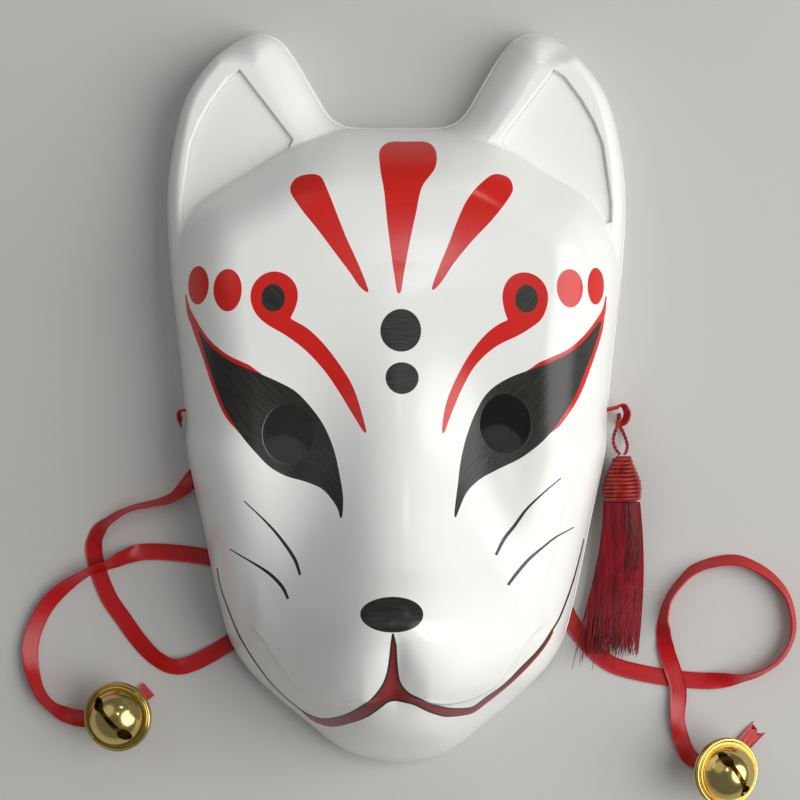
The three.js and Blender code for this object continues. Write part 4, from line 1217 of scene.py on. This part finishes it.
fold = halve(np.zeros(len(brow)), np.full(len(brow), FOLD_REACH), under_ear)
folds = [brow + down * (fold + ring)[:, None] for ring in FOLD_RINGS]
panel_edge = even_steps(np.vstack([panel_line, panel_line[:1]]), PANEL_STEPS)[0][:-1]
panel_edges = [set_in(panel_edge, -ring) for ring in PANEL_RINGS]
step_line = smooth_line(np.array(CREASE_LINE) * MASK_SCALE, steps=16)
steps = [step_line + (0, rise * CREASE_WIDTH) for rise in CREASE_RINGS]
both_sides = [np.array(line) * flip for line in folds + panel_edges + steps for flip in ((1, 1), (-1, 1))]

lip_line = set_in(mask_line, LIP_WIDTH)
outer_rings = edge_rings(LIP_WIDTH, EDGE_RINGS, TIE_REACH)
edge_points = apart(outer_rings, both_sides, CLEAR_OF_FOLDS)
mark_lines = [line for _, line in marks]
loose = np.vstack([edge_points, *both_sides])
outer_holes = eye_loops + outer_ties
outer_points, outer_faces, outer_loops = plan(lip_line, outer_holes, mark_lines, loose, OUTER_PITCH)
print("outer side:", len(outer_points), "points,", len(outer_faces), "triangles")

# %% The inner side, the rim and the walls of the holes
INNER_PITCH = 2.6
INNER_RINGS = [0.06, 0.2, 0.5, 1, 1.8, 3, 4.6]
INNER_TIE_REACH = 16

inner_line = set_in(mask_line, INNER_INSET)
inner_rings = edge_rings(INNER_INSET, INNER_RINGS, INNER_TIE_REACH)
inner_holes = eye_loops + inner_ties
inner_points, inner_faces, inner_loops = plan(inner_line, inner_holes, [], inner_rings, INNER_PITCH)

outer_known, inner_known = edge_distances(outer_points), edge_distances(inner_points)
outer_z = outer_surface(outer_points, outer_known[0], outer_known[2])
outer_z[outer_loops[0]] = LIP_HEIGHT + rim_height(outer_points[outer_loops[0], 1])
inner_z = inner_surface(inner_points, inner_known[0], inner_known[2])
inner_z[inner_loops[0]] = rim_height(inner_points[inner_loops[0], 1])
rim_z = rim_height(mask_line[:, 1])
shell_points = np.vstack([
    np.column_stack([outer_points, outer_z]),
    np.column_stack([inner_points, inner_z]),
    np.column_stack([mask_line, rim_z + LIP_HEIGHT]),
    np.column_stack([mask_line, rim_z]),
])
first_inner = len(outer_points)
first_top = first_inner + len(inner_points)
first_low = first_top + len(mask_line)


def wall(upper, lower):
    """Faces between two loops of the same length. Each faces away from the first loop's middle."""
    count = len(upper)
    return [(upper[i], lower[i], lower[(i + 1) % count], upper[(i + 1) % count]) for i in range(count)]


top_loop = [first_top + i for i in range(len(mask_line))]
low_loop = [first_low + i for i in range(len(mask_line))]
inner_loops = [[first_inner + i for i in loop] for loop in inner_loops]
walls = wall(top_loop, outer_loops[0]) + wall(low_loop, top_loop) + wall(inner_loops[0], low_loop)
for upper, lower in zip(outer_loops[1:], inner_loops[1:]):
    walls += wall(upper, lower)
shell_faces = [tuple(f) for f in outer_faces] + [tuple(f[::-1] + first_inner) for f in inner_faces] + walls
mask = mesh_object("moulded_fox_mask", shell_points * MM, shell_faces, sharp_angle=45)
shape = mask.data
probe = bmesh.new()
probe.from_mesh(shape)
open_edges = sum(not edge.is_manifold for edge in probe.edges)
probe.free()
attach(mask, "root")
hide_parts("mask")
print("shell:", len(shape.polygons), "faces, open edges:", open_edges)

# %% Exact directions for the gloss, and the paint
corner_point = np.zeros(len(shape.loops), int)
shape.loops.foreach_get("vertex_index", corner_point)
directions = np.zeros((len(shape.loops), 3))
outer_corners = slice(0, 3 * len(outer_faces))
inner_corners = slice(3 * len(outer_faces), 3 * (len(outer_faces) + len(inner_faces)))
outer_normals = normals_at(outer_surface, outer_points, outer_known)
inner_normals = -normals_at(inner_surface, inner_points, inner_known)
directions[outer_corners] = outer_normals[corner_point[outer_corners]]
directions[inner_corners] = inner_normals[corner_point[inner_corners] - first_inner]
face_normals = np.zeros(len(shape.polygons) * 3)
shape.polygons.foreach_get("normal", face_normals)
face_normals = face_normals.reshape(-1, 3)
wall_start = len(outer_faces) + len(inner_faces)
directions[inner_corners.stop:] = np.repeat(face_normals[wall_start:], 4, axis=0)
shape.normals_split_custom_set(directions)

middles = outer_points[outer_faces].mean(axis=1)
face_paint = np.zeros((len(shape.polygons), 4))
face_paint[:, 3] = 1
for pot, line in marks:
    face_paint[np.nonzero(inside(line, middles))[0], :3] = pot
paint = shape.color_attributes.new(name="paint", type="FLOAT_COLOR", domain="CORNER")
sides = np.array([len(face) for face in shell_faces])
paint.data.foreach_set("color", np.repeat(face_paint, sides, axis=0).ravel())
print("painted triangles:", int(face_paint[:, :3].any(axis=1).sum()))

# %% [markdown]
# ## Finishes
#
# Every finish is a small tree of nodes. Two effects serve more than one of them, so each is built
# once as a node group: a fine unevenness, for moulded plastic, tumbled brass and the table, and long
# fibres, for the satin, the silk and the streaks of the brush. The groups put out plain values, and
# each material decides what it does with them.

# %% Node helpers
def feed(tree, value, socket):
    """Links another node's output to an input, or sets a plain value on it."""
    if isinstance(value, bpy.types.NodeSocket):
        tree.links.new(value, socket)
    else:
        socket.default_value = value


def set_up(tree, made, **inputs):
    """Feeds a node's inputs by name."""
    for name, value in inputs.items():
        feed(tree, value, made.inputs[name.replace("_", " ")])
    return made


def node(tree, kind, **inputs):
    return set_up(tree, tree.nodes.new(kind), **inputs)


def use(tree, made, **inputs):
    """Places a node group in a material."""
    placed = tree.nodes.new("ShaderNodeGroup")
    placed.node_tree = made
    return set_up(tree, placed, **inputs)


# The factor and the two colours of a Mix node that is set to colours
MIX_INPUTS = (0, 6, 7)
MIX_OUTPUT = 2


def mixed(tree, factor, first, second):
    """A blend of two colours, or of two masks."""
    made = tree.nodes.new("ShaderNodeMix")
    made.data_type = "RGBA"
    for place, value in zip(MIX_INPUTS, (factor, first, second)):
        feed(tree, value, made.inputs[place])
    return made.outputs[MIX_OUTPUT]


def ranged(tree, value, low, high, from_low=0.0, from_high=1.0):
    """A value carried over from one range to another."""
    made = node(tree, "ShaderNodeMapRange", Value=value, From_Min=from_low, From_Max=from_high,
                To_Min=low, To_Max=high)
    return made.outputs["Result"]


def worked_out(tree, operation, *values):
    """One step of arithmetic with masks and values."""
    made = tree.nodes.new("ShaderNodeMath")
    made.operation = operation
    for value, socket in zip(values, made.inputs):
        feed(tree, value, socket)
    return made.outputs["Value"]


def material(name):
    made = bpy.data.materials.new(name)
    made.use_nodes = True
    tree = made.node_tree
    return made, tree, tree.nodes["Principled BSDF"]


def everywhere(tree):
    """Places on the object in metres, which stay the same when it moves."""
    return node(tree, "ShaderNodeTexCoord").outputs["Object"]


def colour(red, green, blue):
    """A colour as a screen shows it, from 0 to 255, as the light that it stands for."""
    return tuple((c / 255) ** 2.2 for c in (red, green, blue)) + (1.0,)


print("node helpers ready")

# %% The shared groups
def group(name, inputs, outputs):
    tree = bpy.data.node_groups.new(name, "ShaderNodeTree")
    for label, kind, value in inputs:
        socket = tree.interface.new_socket(label, in_out="INPUT", socket_type=kind)
        if value is not None:
            socket.default_value = value
    for label in outputs:
        tree.interface.new_socket(label, in_out="OUTPUT", socket_type="NodeSocketFloat")
    return tree, tree.nodes.new("NodeGroupInput"), tree.nodes.new("NodeGroupOutput")


unevenness, start, end = group(
    "fine_unevenness",
    [("Coordinate", "NodeSocketVector", None), ("Broad", "NodeSocketFloat", 40.0),
     ("Fine", "NodeSocketFloat", 900.0)],
    ["Swell", "Grain"])
broad = node(unevenness, "ShaderNodeTexNoise", Vector=start.outputs["Coordinate"],
             Scale=start.outputs["Broad"], Detail=2.0)
grain = node(unevenness, "ShaderNodeTexNoise", Vector=start.outputs["Coordinate"],
             Scale=start.outputs["Fine"], Detail=3.0)
set_up(unevenness, end, Swell=broad.outputs["Fac"], Grain=grain.outputs["Fac"])

fibres, start, end = group(
    "long_fibres",
    [("Coordinate", "NodeSocketVector", None), ("Stretch", "NodeSocketVector", (1.0, 1.0, 1.0))],
    ["Fibre", "Lustre"])
stretched = node(fibres, "ShaderNodeVectorMath", Vector=start.outputs["Coordinate"])
stretched.operation = "MULTIPLY"
fibres.links.new(start.outputs["Stretch"], stretched.inputs[1])
thread = node(fibres, "ShaderNodeTexNoise", Vector=stretched.outputs["Vector"], Scale=1.0, Detail=4.0)
lustre = node(fibres, "ShaderNodeTexNoise", Vector=stretched.outputs["Vector"], Scale=0.23, Detail=1.0)
set_up(fibres, end, Fibre=thread.outputs["Fac"], Lustre=lustre.outputs["Fac"])

print("node groups:", [g.name for g in bpy.data.node_groups])

# %% [markdown]
# The blank is injection-moulded plastic, glossy and very slightly wavy. The paint over it is
# thin: red is even, black shows the pull of the brush as fine streaks and is a little less shiny, and
# the mouth's red is darker, over a black line. The black is lighter and greyer along its streaks,
# a painted glare on the ridges of the brush. The streaks slant outwards on both sides of the face,
# and run level on the dots and the nose.

# %% White plastic, and the pull of the brush
BRUSH_TURN = -0.8
BRUSH_STRETCH = (120.0, 1300.0, 1.0)
LEVEL_STROKES = (0.013, 0.017)
WHITE = (colour(243, 243, 238), colour(247, 246, 242))
RED_PAINT = (colour(206, 30, 26), colour(218, 44, 34))
# The lighter black is painted glare: the grey reflection on the ridges of the brush.
BLACK_PAINT_AND_GLARE = (colour(28, 29, 25), colour(52, 53, 46))
MOUTH_PAINT = (colour(118, 18, 20), colour(150, 36, 34))
plastic, tree, shader = material("painted_white_plastic")
where = everywhere(tree)
rough = use(tree, unevenness, Coordinate=where, Broad=26.0, Fine=1500.0)
split = node(tree, "ShaderNodeSeparateXYZ", Vector=where)
aside = worked_out(tree, "ABSOLUTE", split.outputs["X"])
folded = node(tree, "ShaderNodeCombineXYZ", X=aside, Y=split.outputs["Y"])
pulled = node(tree, "ShaderNodeVectorRotate", Vector=folded.outputs["Vector"], Angle=BRUSH_TURN)
slanted = use(tree, fibres, Coordinate=pulled.outputs["Vector"], Stretch=BRUSH_STRETCH)
level = use(tree, fibres, Coordinate=where, Stretch=BRUSH_STRETCH)
off_middle = ranged(tree, aside, 0.0, 1.0, *LEVEL_STROKES)
streaks = mixed(tree, off_middle, level.outputs["Fibre"], slanted.outputs["Fibre"])
print("brush streaks ready")

# %% Paint over the plastic
painted = node(tree, "ShaderNodeAttribute")
painted.attribute_name = "paint"
parts = node(tree, "ShaderNodeSeparateColor", Color=painted.outputs["Color"])
is_red, is_black, is_mouth = (parts.outputs[name] for name in ("Red", "Green", "Blue"))
coloured = mixed(tree, rough.outputs["Swell"], *WHITE)
coloured = mixed(tree, is_red, coloured, mixed(tree, streaks, *RED_PAINT))
# Black paint, lighter along the brush streaks: the streaks are real, their grey is painted glare.
black_with_painted_glare = mixed(tree, ranged(tree, streaks, 0.0, 1.0, 0.3, 0.7), *BLACK_PAINT_AND_GLARE)
coloured = mixed(tree, is_black, coloured, black_with_painted_glare)
coloured = mixed(tree, is_mouth, coloured, mixed(tree, streaks, *MOUTH_PAINT))
dark_paint = worked_out(tree, "MAXIMUM", is_black, is_mouth)
wave = node(tree, "ShaderNodeBump", Height=rough.outputs["Swell"], Strength=0.05, Distance=0.004)
ridges = node(tree, "ShaderNodeBump", Height=streaks, Strength=ranged(tree, dark_paint, 0.0, 0.4),
              Distance=0.0002, Normal=wave.outputs["Normal"])
set_up(tree, shader, Base_Color=coloured, Roughness=ranged(tree, dark_paint, 0.23, 0.32), IOR=1.5,
       Subsurface_Weight=0.04, Subsurface_Radius=(0.004, 0.003, 0.002), Normal=ridges.outputs["Normal"])
mask.data.materials.append(plastic)
print("finished:", mask.name)

# %% [markdown]
# Satin is woven so that long threads float on its face, which is why it shines along its
# length. The ribbon's own flat measure, across and along in millimetres, steers the fibres, so they
# follow every bend. Its red swings between a shaded and a lit tone in long streaks, a painted sheen.

# %% Satin ribbon
satin, tree, shader = material("red_satin")
weave = node(tree, "ShaderNodeUVMap")
weave.uv_map = "weave"
streaky = use(tree, fibres, Coordinate=weave.outputs["UV"], Stretch=(9.0, 0.12, 1.0))
# The red swings between a shaded and a lit tone in broad streaks: painted sheen and shade on the satin.
red_with_painted_sheen = mixed(tree, streaky.outputs["Lustre"], colour(146, 2, 12), colour(212, 12, 24))
gloss = ranged(tree, streaky.outputs["Fibre"], 0.24, 0.4)
floats = node(tree, "ShaderNodeBump", Height=streaky.outputs["Fibre"], Strength=0.5, Distance=0.00008)
set_up(tree, shader, Base_Color=red_with_painted_sheen, Roughness=gloss, Normal=floats.outputs["Normal"],
       Sheen_Weight=0.12, Sheen_Roughness=0.3, Sheen_Tint=colour(255, 120, 110))
for piece in (left_ribbon, right_ribbon):
    piece.data.materials.append(satin)
print("finished: two ribbons")

# %% [markdown]
# The bells are stamped brass, tumbled until bright. Fine scratches blur the reflections a little,
# and a thin tarnish deepens the yellow in patches.

# %% Brass
brass, tree, shader = material("bright_brass")
where = everywhere(tree)
rough = use(tree, unevenness, Coordinate=where, Broad=130.0, Fine=2600.0)
tone = mixed(tree, rough.outputs["Swell"], colour(196, 168, 92), colour(226, 206, 138))
gloss = ranged(tree, rough.outputs["Grain"], 0.12, 0.24)
dents = node(tree, "ShaderNodeBump", Height=rough.outputs["Swell"], Strength=0.12, Distance=0.0008)
set_up(tree, shader, Base_Color=tone, Metallic=1.0, Roughness=gloss, Normal=dents.outputs["Normal"])
for piece in left_bell + right_bell:
    piece.data.materials.append(brass)
print("finished: two bells")

# %% [markdown]
# The tassel is dark crimson silk. Its fibres run down the skirt, and catch the light one by one,
# and their colour is painted darker between threads and clumps and lighter on them: painted shade
# and painted highlights. The cord round the head is a lighter, browner red, with the same painted
# shade and highlights.

# %% Silk
def silk_material(name, dark, light, stretch, roughness):
    made, tree, shader = material(name)
    where = everywhere(tree)
    streaky = use(tree, fibres, Coordinate=where, Stretch=stretch)
    # The dark end stands for the shade between threads and clumps, the light end for highlights on them.
    clump_shade = ranged(tree, streaky.outputs["Lustre"], 0.0, 0.6, 0.35, 0.65)
    threads = ranged(tree, streaky.outputs["Fibre"], -0.1, 0.4, 0.3, 0.7)
    tone = worked_out(tree, "ADD", clump_shade, threads)
    gloss = ranged(tree, streaky.outputs["Lustre"], roughness - 0.1, roughness + 0.1)
    floats = node(tree, "ShaderNodeBump", Height=streaky.outputs["Fibre"], Strength=0.4, Distance=0.0001)
    set_up(tree, shader, Base_Color=mixed(tree, tone, dark, light), Roughness=gloss,
           Specular_IOR_Level=0.3, Normal=floats.outputs["Normal"])
    return made


DOWN_THE_SKIRT = (1500.0, 40.0, 1500.0)
EVERY_WAY = (1200.0, 1200.0, 1200.0)
silk = silk_material("crimson_silk", colour(66, 0, 12), colour(152, 2, 32), DOWN_THE_SKIRT, 0.4)
cord_silk = silk_material("wound_silk_cord", colour(112, 20, 24), colour(180, 58, 52), EVERY_WAY, 0.28)
tassel_skirt.data.materials.append(silk)
for piece in (tassel_head, tassel_cord):
    piece.data.materials.append(cord_silk)
print("finished: the tassel")

# %% [markdown]
# ## The table and the light
#
# A pale table and soft light show a white, glossy thing without hiding its form. The main light is
# a large soft panel from the right, so the left half falls into a gentle grey. Two small lamps
# make the round glints that tell gloss from chalk: one high over the brow, one from beyond the ears
# for the bridge and the nose.

# %% Table
TABLE_HALF = 1.6
table_points = [(x * TABLE_HALF, y * TABLE_HALF, 0) for x, y in ((-1, -1), (1, -1), (1, 1), (-1, 1))]
table = mesh_object("pale_table", table_points, [(0, 1, 2, 3)])
matt, tree, shader = material("matt_table")
where = everywhere(tree)
rough = use(tree, unevenness, Coordinate=where, Broad=4.0, Fine=500.0)
shade = mixed(tree, rough.outputs["Swell"], colour(196, 194, 190), colour(202, 200, 196))
set_up(tree, shader, Base_Color=shade, Roughness=0.75)
table.data.materials.append(matt)
print("table:", 2 * TABLE_HALF, "m across")

# %% Light
FACE = (0, -0.02, 0.05)
WORLD_STRENGTH = 0.22


def lamp(name, place, size, power):
    """A round lamp that shines on the face."""
    data = bpy.data.lights.new(name, "AREA")
    data.shape = "DISK"
    data.size = size
    data.energy = power
    made = bpy.data.objects.new(name, data)
    made.location = place
    made.rotation_euler = (Vector(FACE) - Vector(place)).to_track_quat("-Z", "Y").to_euler()
    bpy.context.collection.objects.link(made)


lamp("main_panel", (1.15, -0.1, 1.05), 1.7, 25)
lamp("fill_panel", (-0.9, 0.7, 1.2), 1.4, 2)
lamp("brow_lamp", (0.049, 0.239, 1.0), 0.035, 0.35)
lamp("bridge_lamp", (0.219, 0.616, 0.637), 0.04, 0.22)

world = bpy.data.worlds.new("studio")
world.use_nodes = True
sky = world.node_tree.nodes["Background"]
set_up(world.node_tree, sky, Color=colour(225, 228, 232), Strength=WORLD_STRENGTH)
bpy.context.scene.world = world
bpy.context.scene.view_settings.view_transform = "Standard"
print("lights:", [light.name for light in bpy.data.lights])
